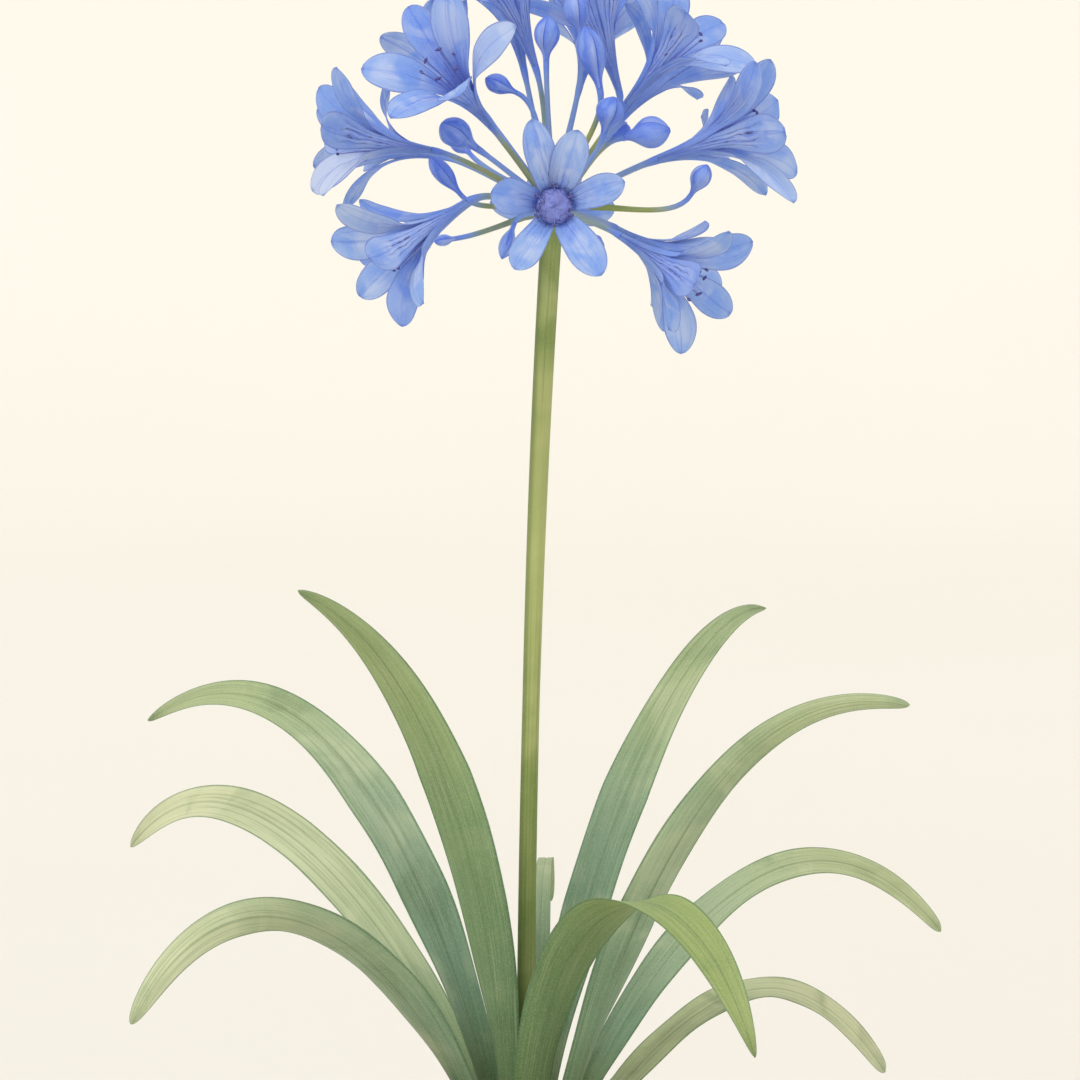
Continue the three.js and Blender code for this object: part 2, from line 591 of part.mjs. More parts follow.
// The trumpet of six tepals as one thin skin: joined in a tube, then free and flaring.
function perianth(row, random) {
  const skin = new Skin();
  const joined = tepalLine(row.open, 1);
  const ring = (share, inset) => {
    const { x, y } = joined.getPointAt(share);
    return Array.from({ length: TUBE_SIDES }, (_, side) => {
      const angle = sideBearing(side, row.gather ?? USUAL_GATHER);
      const radius = x - inset;
      return skin.corner(new THREE.Vector3(radius * Math.cos(angle), radius * Math.sin(angle), y));
    });
  };

  const outside = TUBE_SHARES.map((share) => ring(share, 0));
  const mouth = ring(TUBE_SHARES[2], TEPAL_THICKNESS);
  const foot = skin.corner(new THREE.Vector3(0, 0, 0));
  const hollow = skin.corner(new THREE.Vector3(0, 0, joined.getPointAt(THROAT_DEPTH_SHARE).y));
  for (let i = 0; i < TUBE_SIDES; i++) {
    const j = (i + 1) % TUBE_SIDES;
    skin.triangle(foot, outside[0][j], outside[0][i]);
    skin.quad(outside[0][i], outside[0][j], outside[1][j], outside[1][i]);
    skin.quad(outside[1][i], outside[1][j], outside[2][j], outside[2][i]);
    skin.triangle(hollow, mouth[i], mouth[j]);
  }
  for (let tepal = 0; tepal < TEPALS; tepal++) {
    const seams = [(2 * tepal + TUBE_SIDES - 1) % TUBE_SIDES, 2 * tepal, 2 * tepal + 1];
    const corners = [outside[2], mouth].map((whole) => seams.map((side) => whole[side]));
    addLobe(skin, row, tepal, ...corners, random);
  }
  return skin.geometry();
}

// A stamen: a thin four-sided thread from the wall of the throat.
function stamen({ open }, angle, random) {
  const spot = (radius, height) =>
    new THREE.Vector3(radius * Math.cos(angle), radius * Math.sin(angle), height);
  const foot = spot(STAMEN_FOOT.radius, STAMEN_FOOT.height);
  const tip = spot(
    between(STAMEN_TIP.radius, open) * lerp(0.85, 1.15, random()),
    between(STAMEN_TIP.height, open) * lerp(0.94, 1.04, random()),
  );
  return rod(new THREE.LineCurve3(foot, tip), 1, 4, (share) => (STAMEN_WIDTH / 2) * lerp(1, 0.75, share));
}

function flowerGeometry(row, random) {
  const parts = [perianth(row, random)];
  for (let i = 0; i < TEPALS; i++) {
    parts.push(stamen(row, ((i + 0.5) * 2 * Math.PI) / TEPALS, random));
  }
  if (row.open === 1) parts.push(turned(HEART, HEART_SIDES));
  return fused(parts).scale(row.size, row.size, row.size);
}

// Rows of [share of the bud's length, share of its radius].
const BUD_OUTLINE = [[0, 0.24], [0.2, 0.42], [0.45, 0.95], [0.68, 0.98], [0.88, 0.6], [1, 0.16]];

// A shut bud: six tepals folded together, an edge along the back of each.
function budGeometry({ length, radius, nod }) {
  const sideways = direction(90, 0);
  const sections = BUD_OUTLINE.map(([share, wide]) => {
    const bend = radians(nod) * share;
    const centre = direction(0, 90).applyAxisAngle(sideways, bend / 2).multiplyScalar(length * share);
    return Array.from({ length: TEPALS }, (_, i) =>
      direction((360 * i) / TEPALS, 0)
        .multiplyScalar(radius * wide)
        .applyAxisAngle(sideways, bend)
        .add(centre),
    );
  });
  return loft(sections);
}

// The turn that stands a flower or bud, made along +Z, along its aim, with its own +Y to the
// top, and spins it round its axis.
function standing({ aim, spin = 0 }) {
  const axis = direction(...aim);
  const sideways = new THREE.Vector3().crossVectors(direction(0, 90), axis).normalize();
  const top = new THREE.Vector3().crossVectors(axis, sideways);
  const upright = new THREE.Matrix4().makeBasis(sideways, top, axis);
  const spun = new THREE.Matrix4().makeRotationZ(radians(spin));
  return new THREE.Quaternion().setFromRotationMatrix(upright.multiply(spun));
}

// Sets a flower or bud on the end of its stalk.
function placed(mesh, row) {
  mesh.quaternion.copy(standing(row));
  mesh.position.set(...row.at).add(UMBEL_CENTRE);
  return mesh;
}

// ------------------------------------------------------------------ scape with its stalks

// The scape leans gently to the right as it rises.
function scapeCurve() {
  return new THREE.CubicBezierCurve3(
    new THREE.Vector3(0, 0, SOIL_LEVEL - PLANT_HOLE_DEPTH),
    new THREE.Vector3(0, 0, SOIL_LEVEL + 155),
    new THREE.Vector3(4, 0, SOIL_LEVEL + 300),
    UMBEL_CENTRE,
  );
}

// A flower's stalk starts inside the head, heads for the flower and bends to its axis. It
// ends just short of the flower.
function stalk({ at, aim }) {
  const axis = direction(...aim);
  const away = new THREE.Vector3(...at);
  const end = away.clone().addScaledVector(axis, -CLEARANCE);
  const curve = new THREE.CubicBezierCurve3(
    away.clone().setLength(HEAD_RADIUS / 3).add(UMBEL_CENTRE),
    away.clone().multiplyScalar(0.42).add(UMBEL_CENTRE),
    end.clone().addScaledVector(axis, -0.24 * away.length()).add(UMBEL_CENTRE),
    end.clone().add(UMBEL_CENTRE),
  );
  const radiusAt = (share) => lerp(STALK_ROOT_RADIUS, STALK_END_RADIUS, smoothstep(share, 0, 0.7));
  return rod(curve, STALK_STEPS, STALK_SIDES, radiusAt);
}

function scape() {
  const stem = rod(scapeCurve(), SCAPE_STEPS, SCAPE_SIDES, (share) => along(SCAPE_RADII, share));
  const head = new THREE.SphereGeometry(HEAD_RADIUS, 10, 7);
  head.translate(...UMBEL_CENTRE.toArray());
  const stalks = [...FLOWERS, ...BUDS].map(stalk);
  return piece("scape", fused([stem, head, ...stalks]), GREEN_STALK, 0.6);
}

// ------------------------------------------------------------------ the plant

const agapanthus = new THREE.Group();
agapanthus.add(pot(), soil(), scape(), ...LEAVES.map(leaf));

const random = seededRandom(41);
const numbered = (name, index) => `${name}_${String(index + 1).padStart(2, "0")}`;
FLOWERS.forEach((row, index) => {
  const mesh = piece(numbered("flower", index), flowerGeometry(row, random), BLUE_TEPAL, 0.6);
  agapanthus.add(placed(mesh, row));
});
BUDS.forEach((row, index) => {
  agapanthus.add(placed(piece(numbered("bud", index), budGeometry(row), BLUE_BUD, 0.55), row));
});

export default agapanthus;
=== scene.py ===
import math
import random

import bmesh
import bpy
import numpy as np
from bpy.props import FloatProperty, FloatVectorProperty, IntProperty, PointerProperty
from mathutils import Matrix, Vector


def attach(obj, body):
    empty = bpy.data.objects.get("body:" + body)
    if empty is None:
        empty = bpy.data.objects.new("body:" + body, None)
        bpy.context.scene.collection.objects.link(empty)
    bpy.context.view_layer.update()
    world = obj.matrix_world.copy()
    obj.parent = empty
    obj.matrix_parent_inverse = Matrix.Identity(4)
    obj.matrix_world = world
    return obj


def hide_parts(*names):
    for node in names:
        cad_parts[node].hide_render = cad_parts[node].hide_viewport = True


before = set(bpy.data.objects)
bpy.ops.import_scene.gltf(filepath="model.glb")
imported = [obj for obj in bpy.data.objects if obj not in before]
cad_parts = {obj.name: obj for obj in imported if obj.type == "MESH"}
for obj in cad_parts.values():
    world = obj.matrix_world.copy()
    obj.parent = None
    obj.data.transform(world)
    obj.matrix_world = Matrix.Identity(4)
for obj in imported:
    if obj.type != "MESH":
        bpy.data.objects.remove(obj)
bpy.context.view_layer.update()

bl_info = {
    "name": "Potted agapanthus",
    "version": (1, 0, 0),
    "blender": (4, 5, 0),
    "location": "3D View > Sidebar > Agapanthus",
    "description": "Grows the leaves, stem, flowers and buds of an agapanthus round its packed solids",
    "category": "Object",
}

# Lengths in this file are in millimetres, as on the plant, until a mesh is made.
MM = 0.001

# ---- the plant's layout

SOIL_LEVEL = 136.0
PLANT_HOLE_RADIUS = 24.5
PLANT_HOLE_DEPTH = 12.0
UMBEL_CENTRE = np.array([12.3, 0.0, 561.5])
HEAD_RADIUS = 6.2

LEAF_BASE_WIDTH = 15.5
LEAF_CHANNEL = 0.09
LEAF_FOOT_RISE = 3.0
SHEATH_RISE = 32.0
MOST_WRAP = 1.2
LEAF_WIDTH_SHARES = ((0, 0), (0.12, 0.25), (0.42, 1), (0.62, 1), (1, 1))
LEAF_STATIONS = 15  # points across a leaf's face
LEAF_GROOVE = (0.35, 0.12)  # how deep, and how broad as a share of half the leaf
LEAF_RIPPLE = 0.5
LEAF_TIP_THINNING = 0.5

# One row a leaf: seat, ring, heading, rise, shoulder, tip, width, turn, and narrowing (the
# share of its length where it starts to narrow, the share of its width left at the tip, and
# how blunt the tip is). Then how blue and how yellow it is, from 0 to 1, and how faded, from
# -1 for the deepest green to 1.
LEAVES = {
    "leaf_left_tall": (
        212, 7.8, 222, (3, 140), (55, 240), (120, 265), 23.5, (-0.55, -0.8), (0.62, 0.33, 14),
        (0.3, 0.4, -0.1),
    ),
    "leaf_left_high": (
        158, 12, 146, (15, 94), (93, 252), (198, 185), 25, (0.5, 0.85), (0.56, 0.26, 16),
        (1.0, 0.1, 0.45),
    ),
    "leaf_left_middle": (
        142, 16.4, 132, (19, 55), (171, 203), (267, 112), 23, (0.45, 0.85), (0.62, 0.5, 12),
        (0.45, 0.3, 0.9),
    ),
    "leaf_left_low": (
        208, 16.4, 222, (39, 106), (141, 175), (200, 90), 22, (-0.45, -0.85), (0.42, 0.45, 20),
        (1.0, 0.35, 0.7),
    ),
    "leaf_front": (
        270, 16.4, 310, (8, 140), (104, 173), (150, 74), 25, (-0.6, 0.6), (0.68, 0.4, 10),
        (0.05, 0.8, -0.35),
    ),
    "leaf_right_tall": (
        32, 7.8, 40, (12, 121), (86, 247), (135, 240), 22.5, (0.5, 0.7), (0.6, 0.42, 16),
        (1.0, 0.15, 0.3),
    ),
    "leaf_right_high": (
        -20, 12, -32, (37, 121), (89, 229), (178, 218), 23, (-0.5, -0.85), (0.4, 0.22, 60),
        (0.9, 0.15, 0.5),
    ),
    "leaf_right_middle": (
        12, 16.4, 30, (28, 70), (114, 187), (204, 88), 20.5, (0.5, 0.85), (0.38, 0.33, 60),
        (0.85, 0.45, 0.55),
    ),
    "leaf_right_low": (
        24, 20.8, 45, (58, 50), (133, 105), (215, 11), 15.5, (0.4, 0.85), (0.5, 0.48, 60),
        (0.0, 0.7, 1.0),
    ),
    "leaf_back_tall": (
        66, 12, 87, (6, 86), (62, 168), (140, 95), 9, (0, 0), (0.5, 0.4, 20),
        (0.8, 0.3, 0.35),
    ),
    "leaf_back_middle": (
        84, 16.4, 90, (20, 46), (90, 92), (170, 34), 18, (0, 0), (0.5, 0.4, 20),
        (0.6, 0.4, 0.4),
    ),
    "leaf_back_low": (
        116, 20.8, 99, (30, 40), (100, 76), (155, 14), 16, (0, 0), (0.5, 0.4, 20),
        (0.4, 0.5, 0.5),
    ),
}
FACE_FRONT = np.array([0.0, -1.0, 0.25]) / math.hypot(1.0, 0.25)

# One row an open flower: [right, back, up] of its foot from the umbel's centre, bearing and
# rise of its axis, how wide it opens, size, spin, then how blue its stalk is from 0 to 1.
FLOWERS = [
    ((1, -36, 1), (269, 2), 1, 1.02, 0, 0.0),
    ((-53, -12, 25), (188, 8), 0.68, 1.05, 65, 0.1),
    ((-37.5, -38, 3), (206, -33), 0.5, 1.11, 89, 0.1),
    ((-28, -17, 36.5), (236, 35), 0.64, 1.17, 20, 0.1),
    ((-8, 2, 62), (198, 70), 0.55, 1.12, 20, 0.3),
    ((32, -12, 45.5), (-16, 49), 0.68, 1.11, 118, 0.0),
    ((29, 17, 51), (166, 72), 0.5, 1.08, 50, 0.9),
    ((46, -8, 21.5), (-6, 18), 0.58, 1.17, 14, 0.8),
    ((29.5, -38, -12), (-33, -27), 0.64, 1.08, 100, 0.35),
    ((1, 48, -5), (90, 2), 0.5, 1, 0, 0.4),
    ((-30, 30, 40), (138, 40), 0.55, 1.05, 0, 0.9),
    ((33, 29, 41), (44, 38), 0.55, 1.05, 45, 0.9),
    ((-50, 28, 22), (150, 9), 0.55, 1.05, 25, 0.8),
    ((46, 28, 20), (32, 14), 0.55, 1.05, 10, 0.8),
    ((-36, 30, 2), (148, -27), 0.5, 1, 55, 0.7),
    ((28, 34, -10), (40, -27), 0.5, 1, 20, 0.7),
    ((-13, 28, 61), (112, 60), 0.5, 1.05, 0, 0.8),
    ((12, 42, 53), (76, 44), 0.5, 1.05, 40, 0.8),
]
FRONT_GATHER = 15
FRONT_REACHES = (0.86, 1.02, 1.08, 0.72, 0.8, 1)
FRONT_DEPTHS = (0.3, 0.1, 0.2, 0.7, 0.1, 0.3)

# One row a bud: its foot, bearing and rise, length, radius, nod, then how blue its stalk is and
# how deep its own blue, from 0 to 1.
BUDS = [
    ((-3, -24, 64), (270, 84), 19, 5.6, 4, 0.8, 0.3),
    ((12, -12, 74), (180, 80), 20, 6, -4, 0.9, 0.2),
    ((20, -27, 52), (190, 76), 27, 6.4, 4, 0.0, 0.15),
    ((-16, -22, 50), (186, 24), 15, 4.4, 22, 1.0, 0.45),
    ((-33, -28, 26), (192, 34), 20, 6.6, 30, 1.0, 0.4),
    ((22, -30, 33), (-50, 70), 16, 6.2, 8, 0.9, 0.4),
    ((31, -28, 31), (-16, 8), 20, 7.2, 8, 0.1, 0.55),
    ((60, -16, 6), (-20, 58), 15, 4.6, -14, 0.0, 0.25),
    ((-42, -22, -13), (196, -8), 10, 2.6, 6, 0.2, 0.0),
    ((-17, -18, -7), (232, -60), 17, 3.4, 0, 1.0, 0.0),
    ((-40, -24, 6), (186, 50), 21, 4.2, 0, 0.1, 0.6),
    ((-37, 44, 23), (120, 30), 16, 4.6, 6, 0.8, 0.4),
    ((-6, 42, -12), (100, -24), 15, 4.2, 8, 0.5, 0.3),
    ((26, 46, 30), (62, 16), 17, 4.8, 8, 0.8, 0.2),
    ((16, 42, -14), (70, -26), 16, 4.8, 8, 0.5, 0.5),
]
LEAST_BUD_FOOT = 1.1
BUD_FOLDS = 3
BUD_TWIST = 0.35  # radians that a bud's folds turn through, from its foot to its tip

TEPALS = 6
FLOWER_FOOT_RADIUS = 1.5
FLOWER_TUBE = (2.6, 18)
# Each of a flower just opened, and of one wide open: [away from its axis, along it].
FLOWER_BEND = np.array([(7.0, 40.0), (9.0, 36.0)])
FLOWER_TIP = np.array([(15.0, 60.0), (36.0, 38.0)])
STAMEN_TIP = np.array([(4.5, 45.0), (8.0, 36.0)])
WHORL_STEP = (0.05, 1.5)
TOWARDS_VIEWER = np.array([0.0, -1.0, 0.09])
VIEWER_TURN = 0.45  # how far the near flowers' tepals turn their faces to the viewer
BLOOM_DEPTHS = (0.0, 0.25, 0.05, 0.2, 0.35, 0.3, 0.3, 0.25, 0.35, 0.2)
# The few petals that are washed out, below 0, or laid in deep, by flower and petal.
PETAL_DEPTHS = {
    (1, 3): -0.8, (1, 4): -0.9, (2, 0): -0.4, (2, 3): 0.8, (3, 0): -0.5, (3, 2): 0.7,
    (5, 3): -0.3, (7, 4): -0.4, (8, 1): 0.7,
}
THROAT_RADIUS, THROAT_HEIGHT, CUSHION_DOME = 7.4, 26.8, 2.8
CUSHION_THREADS, CUSHION_DEPTH = 18, 4
STAMEN_FOOT = (2.3, 10.5)
STAMEN_LENGTHS = (0.94, 1.04)
STAMEN_SPREADS = (0.85, 1.15)
FILAMENT_RADII, STYLE_RADII = (0.42, 0.24), (0.4, 0.26)
ANTHER_RADIUS, ANTHER_LENGTHS = 0.62, (2.6, 3.2)
OVARY_LENGTH, OVARY_RADIUS = 9, 1.1
STYLE_REACH = (40, 33)
USUAL_GATHER = 6
FLARE_SPREAD = 0.18
USUAL_REACH = (0.94, 1.05)
SWAY = 2.2
WHORL_BREADTH = (0.94, 1.08)
CUP = (0.9, 0.4)
TUBE_END = 0.33  # share of a tepal's length where it leaves the tube
LOBE_FOOT_HALF_WIDTHS = (2.4, 4.6)  # of a flower just opened, and of one wide open
LOBE_HALF_WIDTH = 7.2
LOBE_GROWS = (0.34, 0.8)
LOBE_CLOSES = 0.75
ROLLS = (0.42, 0.66)  # shares of a tepal's length between which it turns to the viewer
TEPAL_CROWDING = 0.62  # most half width of a lobe, as a share of its distance from the axis
TUBE_OVERLAP = 1.3  # how far neighbours in the tube reach over each other
INNER_WHORL_INSET = 0.4
TEPAL_STATIONS = 13  # points across a tepal's face
TEPAL_GROOVE = (0.25, 0.14)
TEPAL_TIP_THINNING = 0.6

# Seeds of the random draws. PLANT_SEED is that of the plant's own unevenness.
PLANT_SEED, BLOOM_SEED, BUD_SEED, STALK_SEED, SOIL_SEED, CRUMB_SEED = 41, 1000, 2000, 7, 5, 11

# ---- plain helpers


def swatch(red, green, blue):
    """A colour given as it looks on a screen, 0 to 255, as the linear values that shaders use."""
    return tuple(((value / 255 + 0.055) / 1.055) ** 2.4 for value in (red, green, blue))


def mixed(first, second, share):
    return first + (second - first) * share


def eased(value, start, end):
    """0 before start, 1 after end, and a soft step between them."""
    share = np.clip((np.asarray(value, float) - start) / (end - start), 0, 1)
    return share * share * (3 - 2 * share)


def unit(vectors):
    return vectors / np.linalg.norm(vectors, axis=-1, keepdims=True)


def whole_turn(count):
    """Angles all the way round, in radians."""
    return np.linspace(0, 2 * math.pi, count, endpoint=False)


def stacked(x, y, z):
    """Points or places made of their three numbers, spread to one shape."""
    return np.stack(np.broadcast_arrays(x, y, z), axis=-1)


def square_to(forward, facing):
    """The facing directions, made square to the forward ones."""
    return unit(facing - forward * (facing * forward).sum(axis=1, keepdims=True))


def level_axes(angle):
    """Level directions at an angle in radians: outwards, and sideways from that."""
    cos, sin = math.cos(angle), math.sin(angle)
    return np.array([cos, sin, 0]), np.array([-sin, cos, 0])


def direction(bearing, rise):
    """The unit vector with a bearing round +Z, from +X, and a rise above the horizon."""
    bearing, rise = math.radians(bearing), math.radians(rise)
    level = math.cos(rise)
    return np.array([level * math.cos(bearing), level * math.sin(bearing), math.sin(rise)])


def bezier(controls, steps=200):
    share = np.linspace(0, 1, steps + 1)[:, None]
    a, b, c, d = np.asarray(controls, float)
    left = 1 - share
    return left**3 * a + 3 * share * left**2 * b + 3 * share**2 * left * c + share**3 * d


def resampled(points, shares):
    """The points at shares 0 to 1 of a line's length."""
    steps = np.linalg.norm(np.diff(points, axis=0), axis=1)
    place = np.concatenate([[0], np.cumsum(steps)]) / steps.sum()
    return np.stack([np.interp(shares, place, column) for column in points.T], axis=1)


def tangents(points):
    return unit(np.gradient(points, axis=0))


class PlantDraw:
    """The row of numbers from 0 to 1 that the plant's own unevenness is drawn from."""

    def __init__(self, seed):
        self.state = seed

    def __call__(self):
        self.state = (self.state * 1664525 + 1013904223) % 4294967296
        return self.state / 4294967296


# ---- meshes


def ring_quads(index):
    """The faces between rows of rings, from their points' numbers."""
    near, far = index[:-1], index[1:]
    return np.stack([near, np.roll(near, -1, 1), np.roll(far, -1, 1), far], axis=-1).reshape(-1, 4)


class Skin:
    """Collects closed forms for one mesh. Every point keeps its place on its blade or rod,
    (across, along, inner side), and its form's tone, three numbers for the materials."""

    def __init__(self):
        self.points, self.places, self.tones = [], [], []
        self.faces, self.paints = [], []
        self.count = 0

    def rings(self, points, places, tone, paint=0):
        """Adds rings of points, shape (rows, ring, 3), skins them and closes both ends."""
        rows, ring = points.shape[:2]
        index = self.count + np.arange(rows * ring).reshape(rows, ring)
        inward = np.arange(ring // 2 - 1)
        across = np.stack([inward, inward + 1, ring - 2 - inward, ring - 1 - inward], axis=1)
        faces = np.concatenate([ring_quads(index), index[0][across[:, ::-1]], index[-1][across]])
        self.points.append(points.reshape(-1, 3))
        self.places.append(np.broadcast_to(places, points.shape).reshape(-1, 3))
        self.tones.append(np.broadcast_to(tone, points.shape).reshape(-1, 3))
        self.faces.append(faces)
        self.paints.append(np.full(len(faces), paint))
        self.count += rows * ring

    def piece(self, name, materials, crease=50):
        mesh = bpy.data.meshes.new(name)
        points = np.concatenate(self.points) * MM
        mesh.from_pydata(points.tolist(), [], np.concatenate(self.faces).tolist())
        for label, values in (("place", self.places), ("tone", self.tones)):
            made = mesh.attributes.new(label, "FLOAT_VECTOR", "POINT")
            made.data.foreach_set("vector", np.concatenate(values).astype(np.float32).ravel())
        for paint in materials:
            mesh.materials.append(material(paint))
        mesh.polygons.foreach_set("material_index", np.concatenate(self.paints).astype(np.int32))
        return finished(name, mesh, crease)


def finished(name, mesh, crease=50):
    """Turns a mesh's faces outward, smooths it but for its creases, and puts it in the scene."""
    work = bmesh.new()
    work.from_mesh(mesh)
    bmesh.ops.recalc_face_normals(work, faces=work.faces)
    work.to_mesh(mesh)
    work.free()
    mesh.polygons.foreach_set("use_smooth", [True] * len(mesh.polygons))
    mesh.set_sharp_from_angle(angle=math.radians(crease))
    piece = bpy.data.objects.new(name, mesh)
    bpy.context.scene.collection.objects.link(piece)
    return piece


def blade_places(along, spread):
    """The places of a blade's rings: its inner face from edge to edge, then its outer face back."""
    across = np.concatenate([spread, spread[::-1]])
    return stacked(across, along[:, None], np.repeat([1.0, 0.0], len(spread)))


def towards_tip(count, power):
    """Shares from 0 to 1 along a blade, closer together towards its tip."""
    return 1 - (1 - np.linspace(0, 1, count)) ** power


def groove(spread, depth, breadth):
    """How far the groove along a blade's middle lowers its face."""
    return -depth * np.exp(-((spread / breadth) ** 2))


def edge_spread(count):
    """Stations from -1 to 1 across a blade, closer together towards its edges."""
    even = np.linspace(-1, 1, count)
    return even * (1.5 - 0.5 * even**2)


def rod_rings(middle, radii, sides):
    """Round rings along a line, and their places: across runs round, along follows the line."""
    forward = tangents(middle)
    helper = np.array([0.0, 1.0, 0.0]) if abs(forward[0][1]) < 0.8 else np.array([1.0, 0.0, 0.0])
    side = unit(np.cross(forward, helper))
    up = np.cross(side, forward)
    angle = whole_turn(sides)
    radii = np.broadcast_to(radii, len(middle))[:, None, None]
    around = side[:, None] * np.cos(angle)[:, None] + up[:, None] * np.sin(angle)[:, None]
    places = stacked(np.cos(angle), np.linspace(0, 1, len(middle))[:, None], np.sin(angle))
    return middle[:, None] + radii * around, places


EGG_END = 0.12  # radians from an egg's pole to its first ring


def egg_rings(foot, axis, length, radius, rows, sides):
    """Rings of a small egg that stands on foot and points along axis."""
    angle = np.linspace(EGG_END, math.pi - EGG_END, rows)
    middle = foot + np.outer((1 - np.cos(angle)) / 2 * length, unit(axis))
    return rod_rings(middle, radius * np.sin(angle), sides)


# ---- materials


class Amount:
    """What a node puts out. Plain sums and products of it make the nodes that follow."""

    def __init__(self, recipe, socket):
        self.recipe, self.socket = recipe, socket

    def __add__(self, other):
        return self.recipe.maths("ADD", self, other)

    def __sub__(self, other):
        return self.recipe.maths("SUBTRACT", self, other)

    def __rsub__(self, other):
        return self.recipe.maths("SUBTRACT", other, self)

    def __mul__(self, other):
        return self.recipe.maths("MULTIPLY", self, other)

    def most(self, other):
        return self.recipe.maths("MAXIMUM", self, other)

    def ease(self, start, end):
        """0 at start, 1 at end, in a soft step."""
        inputs = {"Value": self, "From Min": start, "From Max": end}
        return self.recipe.node("MapRange", "Result", inputs, interpolation_type="SMOOTHSTEP")


class Recipe:
    """One material: a principled surface whose colour and relief are worked out by nodes. Each
    coat of paint is laid over the colour so far."""

    def __init__(self, name, ground, roughness, specular):
        self.material = bpy.data.materials.new(name)
        self.material.use_nodes = True
        self.surface = self.material.node_tree.nodes["Principled BSDF"]
        self.colours = bpy.context.scene.agapanthus_colours
        self.colour = ground
        self.set_surface({"Roughness": roughness, "Specular IOR Level": specular})

    def set_surface(self, values):
        for name, value in values.items():
            self.feed(self.surface.inputs[name], value)

    def feed(self, socket, value):
        if isinstance(value, Amount):
            self.material.node_tree.links.new(value.socket, socket)
        else:
            socket.default_value = value

    def node(self, kind, output, inputs, **settings):
        """A new node with its settings made and its inputs filled; gives the named output."""
        node = self.material.node_tree.nodes.new("ShaderNode" + kind)
        for name, value in settings.items():
            setattr(node, name, value)
        for name, value in inputs.items():
            self.feed(node.inputs[name], value)
        return Amount(self, node.outputs[output])

    def let_light_through(self, share):
        """Lets some of the light pass through a thin surface, down to a few millimetres."""
        self.set_surface({
            "Subsurface Weight": share, "Subsurface Radius": (0.8, 0.9, 1.0), "Subsurface Scale": 3 * MM,
        })

    def attribute(self, name):
        """The three numbers of one of the mesh's own attributes."""
        return self.parts(self.node("Attribute", "Vector", {}, attribute_name=name))

    def parts(self, vector):
        whole = self.node("SeparateXYZ", "X", {0: vector})
        return [Amount(self, socket) for socket in whole.socket.node.outputs]

    def position(self):
        return self.node("TexCoord", "Object", {})

    def maths(self, operation, first, second=0.0):
        return self.node("Math", 0, {0: first, 1: second}, operation=operation)

    def noise(self, place, scale, detail=2.0, roughness=0.5, distortion=0.0):
        if isinstance(place, tuple):
            place = self.node("CombineXYZ", 0, dict(enumerate(place)))
        return self.node("TexNoise", "Fac", {
            "Vector": place, "Scale": scale, "Detail": detail, "Roughness": roughness,
            "Distortion": distortion,
        })

    def blend(self, first, second, share):
        """A share of the second paint over the first. A paint is named as in the settings, or is
        itself a blend."""
        inputs = {0: share}
        for place, paint in ((6, first), (7, second)):
            inputs[place] = (*getattr(self.colours, paint), 1.0) if isinstance(paint, str) else paint
        return self.node("Mix", 2, inputs, data_type="RGBA")

    def lay(self, paint, share):
        self.colour = self.blend(self.colour, paint, share)

    def grain(self, paint, scale, share):
        """Fine flecks all over."""
        self.lay(paint, self.noise(self.position(), scale, 2.0).ease(0.4, 0.75) * share)

    def relief(self, height, distance, strength):
        """Raises the surface by height times distance, a length in millimetres."""
        inputs = {"Strength": strength, "Distance": distance * MM, "Height": height}
        self.set_surface({"Normal": self.node("Bump", "Normal", inputs)})


